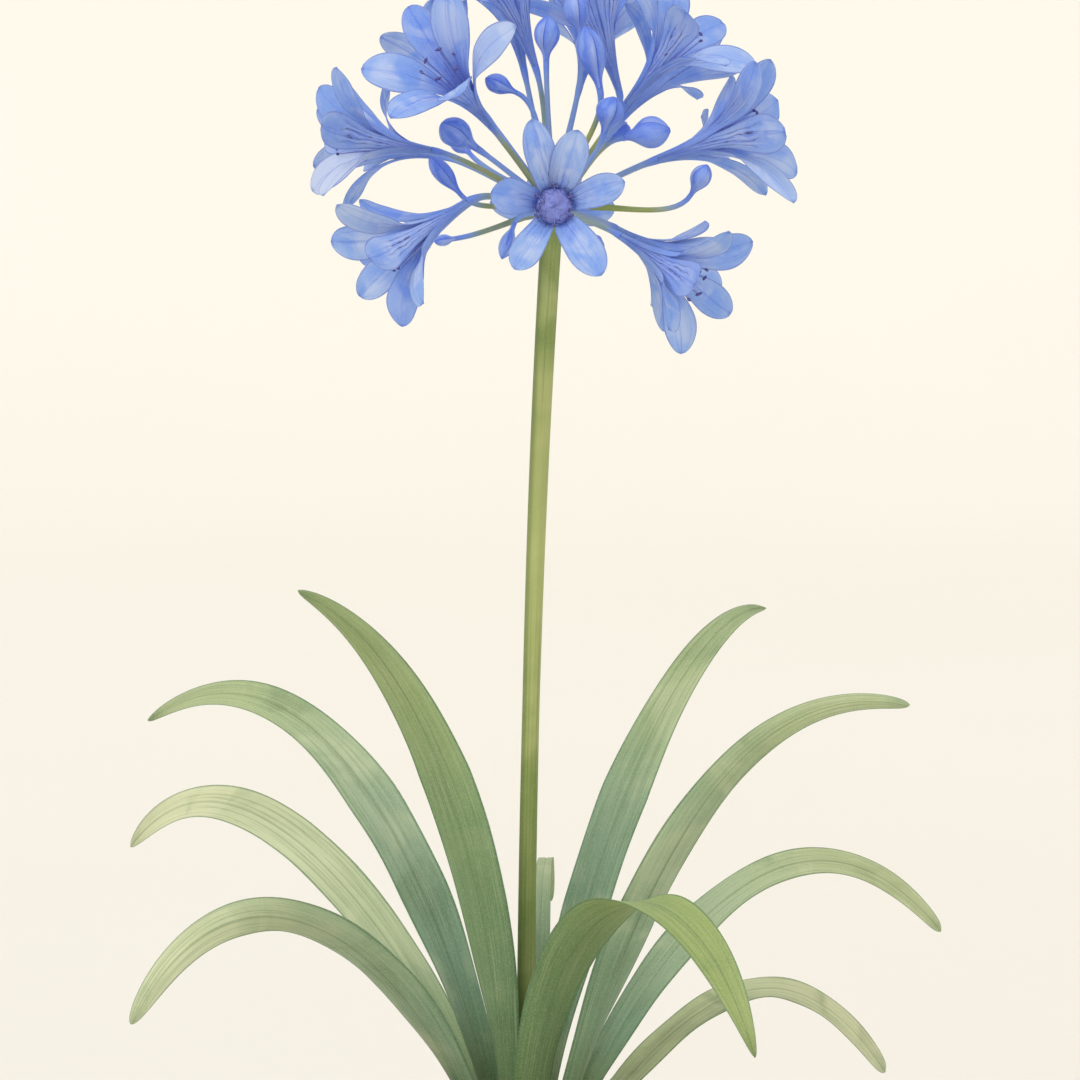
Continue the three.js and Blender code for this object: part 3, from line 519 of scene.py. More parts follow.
def paint_petal(recipe):
    """Washed blue, streaked lengthwise, darker at edges and ribs, and violet in the throat."""
    recipe.let_light_through(0.4)
    across, along, inner = recipe.attribute("place")
    chance, depth, lined = recipe.attribute("tone")
    aside, outer = recipe.maths("ABSOLUTE", across), 1.0 - inner
    shifted = across * 4.0 + chance * 40.0
    streaks = recipe.noise((shifted, along * 2.2, chance), 1.3, 4.0, 0.6)
    fine = recipe.noise((shifted * 5.0, along * 3.0, chance), 1.0, 3.0)
    wash = recipe.noise(recipe.position(), 70.0, 2.0, 0.5, 0.6)

    recipe.lay("petal_light", wash.ease(0.35, 0.65))
    middle = aside.ease(0.8, 0.2) * along.ease(0.45, 0.7)
    recipe.lay("petal_pale", middle * wash.ease(0.42, 0.6) * along.ease(1.0, 0.85) * 0.7)
    recipe.lay("petal_deep", streaks.ease(0.5, 0.72) * 0.55)
    recipe.lay("petal_deep", fine.ease(0.5, 0.8) * 0.2)
    recipe.lay("petal_deep", depth * 0.6)
    recipe.lay("petal_pale", depth.ease(0.0, -1.0) * along.ease(0.3, 0.6) * 0.9)
    rib = aside.ease(0.12, 0.0) * (inner * -0.15 + 0.4)
    recipe.lay("petal_deep", rib)
    recipe.lay("petal_deep", along.ease(0.5, 0.12) * outer * 0.45)
    recipe.lay("stalk_blue", along.ease(0.1, 0.0) * 0.6)

    shut = recipe.maths("MINIMUM", lined, 0.0) * 0.8 + 1.0
    hollow = inner * along.ease(0.55, 0.34) * shut * 0.6
    recipe.lay("throat", hollow.most(lined * outer * 0.15))
    wander = recipe.noise((across * 1.5, along * 4.0, chance), 1.6)
    between_lines = recipe.maths("PINGPONG", across * 2.6 + wander * 1.6 + chance, 0.5)
    band = aside.ease(0.85, 0.45) * along.ease(0.1, 0.3)
    outer_lines = outer * lined * along.ease(0.85, 0.6)
    inner_lines = inner * along.ease(0.75, 0.5) * 0.6
    recipe.lay("petal_pale", between_lines.ease(0.3, 0.5) * band * outer_lines * 0.5)
    lines = between_lines.ease(0.1, 0.03) * band * outer_lines.most(inner_lines)
    recipe.lay("throat_line", lines * fine.ease(0.3, 0.5))

    ragged = aside + (streaks - 0.5) * 0.1
    rim = ragged.ease(0.86, 0.99).most(along.ease(0.965, 1.0) * 0.8)
    recipe.lay("petal_edge", rim * along.ease(0.2, 0.4) * 0.75)
    recipe.grain("petal_pale", 1500.0, 0.14)
    recipe.relief(streaks + fine * 0.5, 0.35, 0.5)


def paint_bud(recipe):
    """Shut tepals: smooth blue, painted shade and highlight at the folds, seams and a darker foot."""
    around, along, turn = recipe.attribute("place")
    chance, depth, _ = recipe.attribute("tone")
    moved = around + chance * 9.0
    streaks = recipe.noise((moved * 3.0, along * 1.5, turn * 3.0), 1.3, 4.0, 0.6)
    wash = recipe.noise((moved, along * 1.6, turn), 1.1, 2.0, 0.5, 0.4)
    recipe.lay("petal_middle", wash.ease(0.3, 0.6))
    recipe.lay("petal_deep", wash.ease(0.52, 0.62) * 0.75)
    recipe.lay("petal_deep", streaks.ease(0.46, 0.72) * 0.55)
    recipe.lay("petal_deep", depth * 0.8)
    recipe.lay("petal_deep", along.ease(0.3, 0.02).most(along.ease(0.88, 1.0)) * 0.5)
    angle = recipe.maths("ARCTAN2", turn, around) + along * -BUD_TWIST
    past_fold = recipe.maths("FRACT", angle * (BUD_FOLDS / (2 * math.pi)) + BUD_FOLDS)
    # Painted shade just past each fold, fading across the tepal, and a painted highlight before the next
    # fold.
    recipe.lay("petal_deep", past_fold.ease(0.5, 0.0) * along.ease(0.1, 0.35) * 0.55)
    recipe.lay("petal_edge", past_fold.ease(0.07, 0.02) * along.ease(0.15, 0.4) * 0.8)
    lit = past_fold.ease(0.6, 0.9) * depth.ease(0.7, 0.1) * 0.4
    recipe.lay("petal_pale", lit * along.ease(1.0, 0.7))
    recipe.grain("petal_pale", 1500.0, 0.12)
    recipe.relief(streaks, 0.3, 0.5)


def paint_leaf(recipe):
    """A strap leaf: blue-green low down, yellow-green at the tip, drawn out in fine streaks."""
    recipe.let_light_through(0.25)
    across, along, inner = recipe.attribute("place")
    blue, yellow, pale = recipe.attribute("tone")
    aside = recipe.maths("ABSOLUTE", across)
    own = blue * 17.0 + yellow * 29.0 + inner * 5.0
    lengthwise = across * 9.0 + own
    streaks = recipe.noise((lengthwise, along * 3.4, own), 1.2, 5.0, 0.65)
    fine = recipe.noise((lengthwise * 4.0, along * 6.0, own), 1.0, 3.0)
    wash = recipe.noise(recipe.position(), 21.0, 3.0, 0.5, 0.8)

    recipe.lay("leaf_middle", along.ease(-0.12, 0.45))
    recipe.lay("leaf_blue", blue * along.ease(0.12, 0.3) * along.ease(0.84, 0.5))
    recipe.lay("leaf_yellow", yellow * along.ease(0.25, 0.8) * 0.8)
    faded = pale.ease(0.0, 1.0) * along.ease(0.15, 0.6) * 0.75
    recipe.lay("leaf_light", faded.most((pale * 0.4 + 0.15) * along.ease(0.4, 0.85)))
    recipe.lay("leaf_light", pale.ease(0.3, 1.0) * along.ease(0.6, 0.92) * 0.8)
    pale_foot = pale.ease(0.85, 1.0) * along.ease(0.75, 0.35)
    recipe.lay("leaf_yellow", pale_foot * yellow)
    recipe.lay("leaf_light", pale_foot * 0.55)
    recipe.lay("leaf_deep", pale.ease(0.9, -0.5) * along.ease(0.7, 0.4) * 0.7)
    under = (1.0 - inner) * along.ease(0.9, 0.5)
    recipe.lay("leaf_blue", under * blue * 0.4)
    recipe.lay("leaf_under", under * 0.2)

    recipe.lay("leaf_light", wash.ease(0.5, 0.68) * pale.ease(-0.5, 0.6) * 0.35)
    recipe.lay("leaf_deep", wash.ease(0.46, 0.3) * 0.4)
    recipe.lay("leaf_deep", along.ease(0.95, 1.0) * 0.3)
    recipe.lay("leaf_deep", streaks.ease(0.45, 0.7) * 0.45)
    recipe.lay("leaf_light", fine.ease(0.48, 0.75) * 0.3)
    rib = aside.ease(0.09, 0.0) * 0.35
    recipe.lay("leaf_deep", rib.most((aside + streaks * 0.08).ease(0.93, 1.02) * 0.7))
    recipe.grain("leaf_light", 1300.0, 0.16)
    recipe.relief(streaks + fine, 0.5, 0.6)


def paint_stalk(recipe):
    """Scape and flower stalks: olive green with painted shade down one side, painted light on the scape's
    middle, and blue on some stalks.
    """
    around, along, turn = recipe.attribute("place")
    blue, chance, stem = recipe.attribute("tone")
    drawn = (around * 3.2 + chance, along * 2.0 + chance * 19.0, turn * 3.2 + chance)
    streaks = recipe.noise(drawn, 1.4, 4.0, 0.6)
    wash = recipe.noise(recipe.position(), 26.0, 3.0, 0.5, 0.5)
    recipe.lay("stalk_light", wash.ease(0.3, 0.7))
    recipe.lay("stalk_deep", streaks.ease(0.42, 0.7) * 0.55)
    # Painted light: a paler band on the middle of the scape, as if sunlit there.
    recipe.lay("stalk_light", stem * along.ease(0.5, 0.64) * along.ease(0.86, 0.74) * 0.6)
    recipe.lay("stalk_deep", stem * along.ease(0.55, 0.3) * 0.35)
    # Painted shade down one side of every stalk.
    recipe.lay("stalk_deep", stem * around.ease(0.2, 0.95) * 0.6)
    flower_stalk = 1.0 - stem
    recipe.lay("stalk_blue", blue.most(flower_stalk * along.ease(0.65, 0.98)))
    recipe.lay("petal_deep", flower_stalk * along.ease(0.8, 1.0) * 0.5)
    recipe.grain("stalk_light", 1300.0, 0.15)
    recipe.relief(streaks, 0.3, 0.5)


def paint_filament(recipe):
    """Stamen threads, styles and throat cushions: violet, paler at the foot of a thread."""
    _, along, _ = recipe.attribute("place")
    _, cushion, _ = recipe.attribute("tone")
    spotted = recipe.noise(recipe.position(), 900.0, 3.0, 0.6)
    mottled = recipe.noise(recipe.position(), 330.0, 2.0)
    recipe.lay("throat", along.ease(0.1, 0.9))
    recipe.lay(recipe.blend("throat", "petal_violet", mottled.ease(0.35, 0.65)), cushion)
    flecks = spotted.ease(0.5, 0.75) * 0.4
    recipe.lay("throat_line", flecks.most(cushion * along.ease(0.35, 0.05) * 0.25))
    recipe.relief(spotted + mottled, 0.5, 0.8)


def paint_anther(recipe):
    """The anthers: dusty dark violet."""
    dust = recipe.noise(recipe.position(), 2600.0, 3.0)
    recipe.lay("throat", dust.ease(0.4, 0.7))
    recipe.relief(dust, 0.3, 0.8)


def paint_clay(recipe):
    """Unglazed clay: mottled, finely pitted, with turning lines and a pale bloom of lime."""
    spot = recipe.position()
    x, y, z = recipe.parts(spot)
    specks = recipe.noise(spot, 900.0, 3.0, 0.7)
    rings = recipe.noise((x * 2.0, y * 2.0, z * 420.0), 1.0, 3.0)
    lime = recipe.noise(spot, 46.0, 5.0, 0.65, 1.2)
    recipe.lay("clay", recipe.noise(spot, 24.0, 4.0, 0.6, 0.4).ease(0.35, 0.65))
    recipe.lay("clay_pale", specks.ease(0.42, 0.7) * 0.35)
    recipe.lay("clay_pale", lime.ease(0.52, 0.72) * z.ease(0.0, 0.09) * 0.5)
    recipe.lay("clay_deep", z.ease(0.03, 0.0) * 0.35)
    recipe.relief(rings * 0.8 + specks * 0.5, 0.9, 0.5)


def paint_compost(recipe):
    """Moist potting compost: dark crumbs with paler fibres."""
    crumbs = recipe.noise(recipe.position(), 320.0, 5.0, 0.7)
    fibres = recipe.noise(recipe.position(), 90.0, 4.0, 0.6, 2.5)
    recipe.lay("soil", crumbs.ease(0.35, 0.65))
    recipe.lay("soil_pale", fibres.ease(0.62, 0.72) * 0.55)
    recipe.relief(crumbs, 2.0, 0.9)


def paint_floor(recipe):
    """The plain floor, with faint clouding."""
    cloud = recipe.noise(recipe.position(), 0.8, 2.0)
    recipe.lay("floor_shade", cloud.ease(0.3, 0.7) * 0.3)


# Each material's name in the scene, ground coat, roughness and gloss, and how it is painted.
MATERIALS = {
    "petal": ("washed_petal", "petal_middle", 0.62, 0.18, paint_petal),
    "bud": ("shut_bud", "petal_light", 0.5, 0.25, paint_bud),
    "leaf": ("strap_leaf", "leaf_deep", 0.5, 0.3, paint_leaf),
    "stalk": ("fleshy_stalk", "stalk_middle", 0.5, 0.28, paint_stalk),
    "filament": ("stamen_thread", "petal_light", 0.6, 0.2, paint_filament),
    "anther": ("violet_anther", "throat_line", 0.85, 0.1, paint_anther),
    "clay": ("unglazed_clay", "clay_deep", 0.88, 0.2, paint_clay),
    "compost": ("potting_compost", "soil_deep", 0.95, 0.12, paint_compost),
    "floor": ("plain_floor", "floor", 0.9, 0.1, paint_floor),
}
MADE_MATERIALS = {}


def material(name):
    """The scene's one material of that name, made the first time that it is asked for."""
    if name not in MADE_MATERIALS:
        *look, paint = MATERIALS[name]
        recipe = Recipe(*look)
        paint(recipe)
        recipe.set_surface({"Base Color": recipe.colour})
        MADE_MATERIALS[name] = recipe.material
    return MADE_MATERIALS[name]


def dressed(piece, slot, *nodes):
    """Sets a piece on the plant's one body, in place of its CAD nodes."""
    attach(piece, "root")
    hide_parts(*nodes)


# ---- leaves


def leaf_line(row, shares):
    """A leaf's middle line: upright in the crown, then arching outward and over."""
    seat, ring, heading, rise, shoulder, tip = row[:6]
    base = direction(seat, 0) * ring
    out, up = bezier([(0, LEAF_FOOT_RISE), rise, shoulder, tip]).T
    lower_half = np.linspace(0, 1, len(out)) < 0.5
    freed = np.where(lower_half, eased(up, 0, SHEATH_RISE), 1)
    points = base + np.outer(out * freed, direction(heading, 0))
    points[:, 2] = SOIL_LEVEL + up
    foot = base + [0, 0, SOIL_LEVEL - PLANT_HOLE_DEPTH]
    return resampled(np.vstack([foot, points]), shares)


def leaf_normals(row, forward, shares):
    """The way the leaf's upper face looks, rolled towards the front by the row's turn."""
    seat, heading, (middle_turn, tip_turn) = row[0], row[2], row[7]
    level = np.cross(direction(heading, 0), direction(0, 90))
    upward = unit(np.cross(level, forward))
    rising = middle_turn * eased(shares, 0.08, 0.5)
    roll = mixed(rising, tip_turn, eased(shares, 0.45, 0.85))[:, None]
    facing = mixed(direction(seat + 180, 0), upward, eased(shares, 0, 0.3)[:, None])
    facing = mixed(facing, FACE_FRONT * np.sign(roll), np.abs(roll))
    return square_to(forward, facing)


def leaf_piece(name, row, sizes):
    ring, broadest, narrowing, tone = row[1], row[6], row[8], row[9]
    wild = random.Random(name)
    shares = towards_tip(sizes.leaf_rows, 1.5)
    middle = leaf_line(row, shares)
    forward = tangents(middle)
    facing = leaf_normals(row, forward, shares)
    side = np.cross(facing, forward)

    spread_shares = np.interp(shares, *zip(*LEAF_WIDTH_SHARES))
    narrowed = np.interp(shares, (narrowing[0], 1), (1, narrowing[1]))
    width = mixed(LEAF_BASE_WIDTH, broadest, spread_shares) * narrowed
    width = np.maximum(width * np.sqrt(1 - shares ** narrowing[2]), sizes.leaf_edge / MM)
    wrapped = np.minimum(width / 2 / ring, MOST_WRAP)
    free = eased(shares, 0.02, 0.4)
    reach = mixed(ring * np.sin(wrapped), width / 2, free)
    depth = mixed(ring * (1 - np.cos(wrapped)), LEAF_CHANNEL * width, free)

    spread = edge_spread(LEAF_STATIONS)
    phase = wild.uniform(0, 6)
    waves = np.sin(shares * wild.uniform(24, 32) + phase)[:, None]
    ripple = LEAF_RIPPLE * waves * spread**3 * free[:, None]
    lift = depth[:, None] * (spread**2 - 0.5) + ripple + groove(spread, *LEAF_GROOVE) * free[:, None]
    body = mixed(sizes.leaf_middle, sizes.leaf_edge, spread**2) / MM
    thick = body * mixed(1, LEAF_TIP_THINNING, eased(shares, 0.6, 1))[:, None]
    flat = middle[:, None] + side[:, None] * (reach[:, None] * spread)[..., None]
    upper = flat + facing[:, None] * (lift + thick / 2)[..., None]
    lower = flat + facing[:, None] * (lift - thick / 2)[..., None]

    skin = Skin()
    rings = np.concatenate([upper, lower[:, ::-1]], axis=1)
    skin.rings(rings, blade_places(shares, spread), tone)
    dressed(skin.piece(name.replace("leaf", "strap"), ["leaf"]), "leaf", name)


# ---- flowers


def tepal_line(open_share, whorl):
    """A tepal's middle line, [away from the flower's axis, along it], for an outer tepal with
    whorl 1 and an inner one with -1."""
    tip = mixed(*FLOWER_TIP, open_share)
    tip = tip * (1 + whorl * WHORL_STEP[0], 1) - (0, whorl * WHORL_STEP[1])
    return bezier([(FLOWER_FOOT_RADIUS, 0), FLOWER_TUBE, mixed(*FLOWER_BEND, open_share), tip])


def lobe_half_width(shares, open_share):
    """Half the width of a tepal's free part: narrow at its foot, broad, with a blunt tip."""
    foot = mixed(*LOBE_FOOT_HALF_WIDTHS, eased(open_share, 0.7, 1))
    growing = mixed(foot, LOBE_HALF_WIDTH, eased(shares, *LOBE_GROWS))
    closing = np.clip((shares - LOBE_CLOSES) / (1 - LOBE_CLOSES), 0, 1)
    return growing * (1 - closing**2.4) ** 0.6


def tepal_rings(flower, tepal, draw, wild, sizes):
    """The rings of one tepal in the flower's own frame, and how lined its outer face is."""
    open_share, gather, reaches, viewer, turned_share = flower
    flare = mixed(-FLARE_SPREAD, FLARE_SPREAD, draw())
    usual_reach = mixed(*USUAL_REACH, draw())
    sway = mixed(-SWAY, SWAY, draw())
    reach = reaches[tepal] if reaches else usual_reach
    whorl = -1 if tepal % 2 else 1
    even = tepal * 2 * math.pi / TEPALS
    angle = even + math.radians(gather) * math.cos(even) * (1 + math.sin(even))
    outwards, sideways = level_axes(angle)

    shares = towards_tip(sizes.tepal_rows, 1.35)
    joined = resampled(tepal_line(open_share, 1), shares)
    own = resampled(tepal_line(open_share + flare, whorl), shares)
    line = mixed(joined, own, eased(shares, 0.2, 0.45)[:, None])
    free = eased(shares, TUBE_END, 1)
    radius = line[:, 0] * mixed(1, reach, free)
    middle = np.outer(radius, outwards) + np.outer(sway * free, sideways)
    middle[:, 2] += line[:, 1]
    slope = tangents(line)
    inwards = np.outer(-slope[:, 1], outwards)
    inwards[:, 2] += slope[:, 0]
    forward = tangents(middle)
    seen_side = 1 if inwards[-6] @ viewer >= -0.15 else -1
    share = (turned_share * eased(shares, *ROLLS))[:, None]
    facing = mixed(inwards, viewer * seen_side, share)
    facing = square_to(forward, facing)
    side = np.cross(forward, facing)
    side = side * np.sign(side @ sideways)[:, None]

    cup = mixed(*CUP, free)
    in_tube = 1 - eased(shares, 0.24, 0.48)
    lobe = lobe_half_width(shares, open_share) * WHORL_BREADTH[tepal % 2]
    lobe = np.minimum(lobe, TEPAL_CROWDING * np.maximum(radius - cup, 0.5))
    half = np.maximum(mixed(lobe, radius * math.pi / TEPALS * TUBE_OVERLAP, in_tube), 0.05)
    curve = mixed(2 * cup / np.maximum(half, 1.5) ** 2, 1 / np.maximum(radius, 0.5), in_tube)

    spread = edge_spread(TEPAL_STATIONS)
    turned_by = curve[:, None] * half[:, None] * spread
    across = np.sin(turned_by) / curve[:, None]
    lift = (1 - np.cos(turned_by)) / curve[:, None]
    ruffle = wild.uniform(0.2, 0.6) * np.sin(shares * wild.uniform(14, 22) + wild.uniform(0, 6))
    uneven = np.where(spread < 0, 1, wild.uniform(-1, 1))
    lift = lift + (ruffle * free)[:, None] * np.abs(spread) ** 3 * uneven
    lift = lift + groove(spread, *TEPAL_GROOVE) * free[:, None]
    curl = wild.uniform(-0.6, 1.6)
    inset = 0.0 if whorl == 1 else INNER_WHORL_INSET
    lift = lift + (inset * in_tube - curl * eased(shares, 0.78, 1) ** 2)[:, None]
    body = mixed(sizes.tepal_middle, sizes.tepal_edge, spread**2) / MM
    thick = body * mixed(1, TEPAL_TIP_THINNING, free)[:, None]

    def surface(rise):
        return middle[:, None] + side[:, None] * across[..., None] + facing[:, None] * rise[..., None]

    rings = np.concatenate([surface(lift + thick), surface(lift)[:, ::-1]], axis=1)
    lined = float(eased(outwards @ viewer, 0.45, 0.85))
    return rings, blade_places(shares, spread), lined


THREAD_PAINT, ANTHER_PAINT = 0, 1


def stamen_rods(skin, open_share, angle, draw, wild):
    """One stamen: a thread that curves up out of the throat, with its anther lying across it."""
    radius, height = mixed(*STAMEN_TIP, open_share)
    radius = radius * mixed(*STAMEN_SPREADS, draw())
    height = height * mixed(*STAMEN_LENGTHS, draw())
    outwards, sideways = level_axes(angle)
    foot = outwards * STAMEN_FOOT[0] + [0, 0, STAMEN_FOOT[1]]
    tip = outwards * radius + [0, 0, height]
    belly = mixed(foot, tip, 0.55) - outwards * 0.8 + [0, 0.6, 1.5]
    middle = bezier([foot, mixed(foot, belly, 0.6), belly, tip], 14)
    tone = (wild.random(), 0, 0)
    skin.rings(*rod_rings(middle, np.linspace(*FILAMENT_RADII, len(middle)), 8), tone, THREAD_PAINT)
    lying = unit(sideways + [0, 0, wild.uniform(-0.2, 0.5)])
    length = wild.uniform(*ANTHER_LENGTHS)
    anther = egg_rings(tip - lying * length / 2, lying, length, ANTHER_RADIUS, 9, 8)
    skin.rings(*anther, tone, ANTHER_PAINT)


def standing(aim, spin):
    """The turn that stands what was made along +Z along its aim, with its own +Y to the top."""
    axis = direction(*aim)
    sideways = unit(np.cross(direction(0, 90), axis))
    spun = np.stack([*level_axes(math.radians(spin)), (0, 0, 1)], axis=1)
    return np.stack([sideways, np.cross(axis, sideways), axis], axis=1) @ spun


def stood(skin, at, aim, size, spin):
    """Sets what was made along +Z on the end of its stalk."""
    placing = (standing(aim, spin) * size).T
    skin.points = [points @ placing + UMBEL_CENTRE + at for points in skin.points]
    return skin


def cushion_height(radius):
    """How high the throat's cushion, or the petals' feet beyond it, stand at a radius."""
    dome = np.sqrt(np.clip(1 - (radius / THROAT_RADIUS) ** 2, 0, 1))
    return THROAT_HEIGHT + CUSHION_DOME * dome + 1.2 * eased(radius, THROAT_RADIUS - 1, THROAT_RADIUS)


def throat_cushion(heart, wild):
    """The round violet cushion that shuts the throat of a wide open flower, under the tangle of
    its spent stamens."""
    rows = np.linspace(0, math.pi / 2, 9)
    angle = whole_turn(40)
    knobs = 1 + 0.05 * np.cos(6 * angle) + 0.03 * np.cos(11 * angle + 1)
    out = THROAT_RADIUS * np.cos(rows)[:, None] * knobs
    out[-1] = 0.4
    knobbly = 1 + 0.12 * np.sin(5 * angle + rows[:, None] * 3)
    up = THROAT_HEIGHT + CUSHION_DOME * np.sin(rows)[:, None] * knobbly
    dome = stacked(out * np.cos(angle), out * np.sin(angle), up)
    rings = np.concatenate([dome[:1] - [0, 0, CUSHION_DEPTH], dome])
    along = np.concatenate([[0], rows])[:, None, None] / (math.pi / 2)
    heart.rings(rings, along * [0, 1, 0], (0.5, 1, 0), THREAD_PAINT)
    for half_turn in range(CUSHION_THREADS):
        start, sweep = math.pi * half_turn + wild.uniform(-1.9, 0.6), wild.uniform(0.9, 1.9)
        turn = np.linspace(start, start + sweep, 40)
        first, second = wild.uniform(4, 8), wild.uniform(11, 18)
        phase, other = wild.uniform(0, 6), wild.uniform(0, 6)
        out = THROAT_RADIUS + wild.uniform(-2.0, 1.2)
        out = out + 0.9 * np.sin(first * turn + phase) + 0.35 * np.sin(second * turn + other)
        up = cushion_height(out) + 0.15 + 0.2 * (1 + np.cos(second * turn + phase))
        middle = stacked(out * np.cos(turn), out * np.sin(turn), up)
        taper = np.sin(np.linspace(0.15, math.pi - 0.15, len(turn)))
        thread_rings = rod_rings(middle, 0.05 + wild.uniform(0.03, 0.11) * taper, 6)
        heart.rings(*thread_rings, (wild.random(), 0, 0), ANTHER_PAINT)


def bloom_pieces(index, row, draw, sizes):
    at, aim, open_share, size, spin, _ = row
    wild = random.Random(BLOOM_SEED + index)
    front = index == 0
    near = 0 < index < len(BLOOM_DEPTHS)
    viewer = standing(aim, spin).T @ TOWARDS_VIEWER
    gather, reaches = (FRONT_GATHER, FRONT_REACHES) if front else (USUAL_GATHER, None)
    flower = (open_share, gather, reaches, viewer, VIEWER_TURN if near else 0)
    depth = BLOOM_DEPTHS[min(index, len(BLOOM_DEPTHS) - 1)]
    petals, heart = Skin(), Skin()
    for tepal in range(TEPALS):
        rings, places, lined = tepal_rings(flower, tepal, draw, wild, sizes)
        washed = FRONT_DEPTHS[tepal] if front else depth * wild.uniform(0.4, 1.6)
        washed = PETAL_DEPTHS.get((index, tepal), washed)
        if not near:
            lined = -1 if front else 0
        petals.rings(rings, places, (wild.random(), washed, lined))
    for stamen in range(TEPALS):
        stamen_rods(heart, open_share, (stamen + 0.5) * 2 * math.pi / TEPALS, draw, wild)
    if front:
        throat_cushion(heart, wild)
    else:
        ovary = egg_rings(np.array([0, 0, 2.0]), direction(0, 90), OVARY_LENGTH, OVARY_RADIUS, 8, 8)
        reach = mixed(*STYLE_REACH, open_share)
        line = bezier([(0, 0, 9), (0.2, 0.2, 20), (0, 1.6, reach - 6), (0.3, 2.8, reach)], 14)
        style = rod_rings(line, np.linspace(*STYLE_RADII, len(line)), 8)
        for rings in (ovary, style):
            heart.rings(*rings, (0.5, 0, 0), THREAD_PAINT)
    number = f"{index + 1:02d}"
    for skin, name, paints in ((petals, "bloom", ["petal"]), (heart, "stamens", ["filament", "anther"])):
        piece = stood(skin, at, aim, size, spin).piece(f"{name}_{number}", paints)
        dressed(piece, "tepal", f"flower_{number}")


# ---- buds

BUD_OUTLINE = ((0, 0.24), (0.1, 0.28), (0.2, 0.42), (0.33, 0.72), (0.45, 0.93), (0.58, 1.0), (0.7, 0.96),
               (0.8, 0.82), (0.9, 0.56), (0.97, 0.28), (1, 0.08))


def bud_foot_radius(radius):
    return max(radius * BUD_OUTLINE[0][1], LEAST_BUD_FOOT)


def bud_piece(index, row, sizes):
    at, aim, length, radius, nod, _, depth = row
    wild = random.Random(BUD_SEED + index)
    shares = np.linspace(0, 1, sizes.bud_rows)
    known, wide = np.array(BUD_OUTLINE, float).T
    swell = np.interp(shares, known, wide)
    swell = np.convolve(np.pad(swell, 1, mode="edge"), (0.25, 0.5, 0.25), mode="valid")
    bend = np.radians(nod) * shares
    angle = whole_turn(48)
    past_fold = angle * BUD_FOLDS / (2 * math.pi) % 1
    fold = 1 - 0.13 * (1 - past_fold) ** 3 + 0.03 * past_fold
    around = angle[None] + BUD_TWIST * shares[:, None]
    least = np.where(shares < 0.4, bud_foot_radius(radius), 0)
    out = np.maximum(radius * swell, least)[:, None]
    out = out * mixed(1, fold, eased(shares, 0.1, 0.4)[:, None])
    across, upright = out * np.cos(around), out * np.sin(around)
    bent = stacked(across * np.cos(bend)[:, None], upright, -across * np.sin(bend)[:, None])
    middle = stacked(np.sin(bend / 2), 0, np.cos(bend / 2))
    rings = bent + (middle * (length * shares)[:, None])[:, None]
    skin = Skin()
    skin.rings(rings, stacked(np.cos(around), shares[:, None], np.sin(around)), (wild.random(), depth, 0))
    piece = stood(skin, at, aim, 1, 0).piece(f"shut_{index + 1:02d}", ["bud"], 80)
    dressed(piece, "bud", f"bud_{index + 1:02d}")


# ---- scape and flower stalks

SCAPE_RADII = ((0, 4), (0.5, 3.7), (1, 4.6))
SCAPE_SIDES = 28
STALK_RADII = (1.75, 1.15)
STALK_ROWS = 22
FLOWER_STALK_END = 1.65


def scape_line():
    return bezier([(0, 0, SOIL_LEVEL - PLANT_HOLE_DEPTH), (0, 0, SOIL_LEVEL + 155),
                   (4, 0, SOIL_LEVEL + 300), UMBEL_CENTRE])


def stalk_line(at, aim):
    """From inside the head, out towards the flower, bending to the flower's axis."""
    axis, away = direction(*aim), np.array(at, float)
    length = np.linalg.norm(away)
    end = away - axis * 0.1
    controls = [away * HEAD_RADIUS / 3 / length, away * 0.42, end - axis * 0.24 * length, end]
    return np.array(controls) + UMBEL_CENTRE


def scape_piece(sizes):
    skin = Skin()
    shares = np.linspace(0, 1, sizes.stem_rows)
    middle = resampled(scape_line(), shares)
    radii = np.interp(shares, *zip(*SCAPE_RADII))
    rings, places = rod_rings(middle, radii, SCAPE_SIDES)
    ridged = 1 + 0.03 * np.cos(4 * whole_turn(SCAPE_SIDES))
    rings = middle[:, None] + (rings - middle[:, None]) * ridged[None, :, None]
    skin.rings(rings, places, (0, 0.3, 1))
    foot = UMBEL_CENTRE - [0, 0, HEAD_RADIUS]
    skin.rings(*egg_rings(foot, direction(0, 90), 2 * HEAD_RADIUS, HEAD_RADIUS, 16, 24), (0, 0.6, 1))
    wild = random.Random(STALK_SEED)
    shares = np.linspace(0, 1, STALK_ROWS)
    stalks = [(row[0], row[1], row[5], FLOWER_STALK_END) for row in FLOWERS]
    stalks += [(row[0], row[1], row[5], bud_foot_radius(row[3])) for row in BUDS]
    for at, aim, blue, end_radius in stalks:
        line = resampled(bezier(stalk_line(at, aim)), shares)
        radii = mixed(mixed(*STALK_RADII, eased(shares, 0, 0.7)), end_radius, eased(shares, 0.86, 1))
        skin.rings(*rod_rings(line, radii, 12), (blue, wild.random(), 0))
    dressed(skin.piece("flower_stem", ["stalk"]), "stalk", "scape")


# ---- pot and soil

POT_HEIGHT, POT_RIM_RADIUS, POT_BASE_RADIUS = 150.0, 84.0, 57.0
POT_WALL, POT_FLOOR, RIM_BAND_HEIGHT, RIM_BAND_STEP = 6.0, 8.0, 27.0, 5.0
EDGE_ROUNDING, BAND_ROUNDING, NECK_ROUNDING, INNER_ROUNDING = 2.4, 2.0, 1.4, 4.0
DRAIN_HOLES, DRAIN_HOLE_RADIUS, DRAIN_HOLE_RING = 3, 6.0, 30.0
POT_SIDES, SOIL_SIDES = 128, 180
SOIL_TO_WALL, SOIL_TO_FLOOR = 0.6, 0.3
CRUMB_RADII, CRUMBS_START = (0.8, 2.6), 12


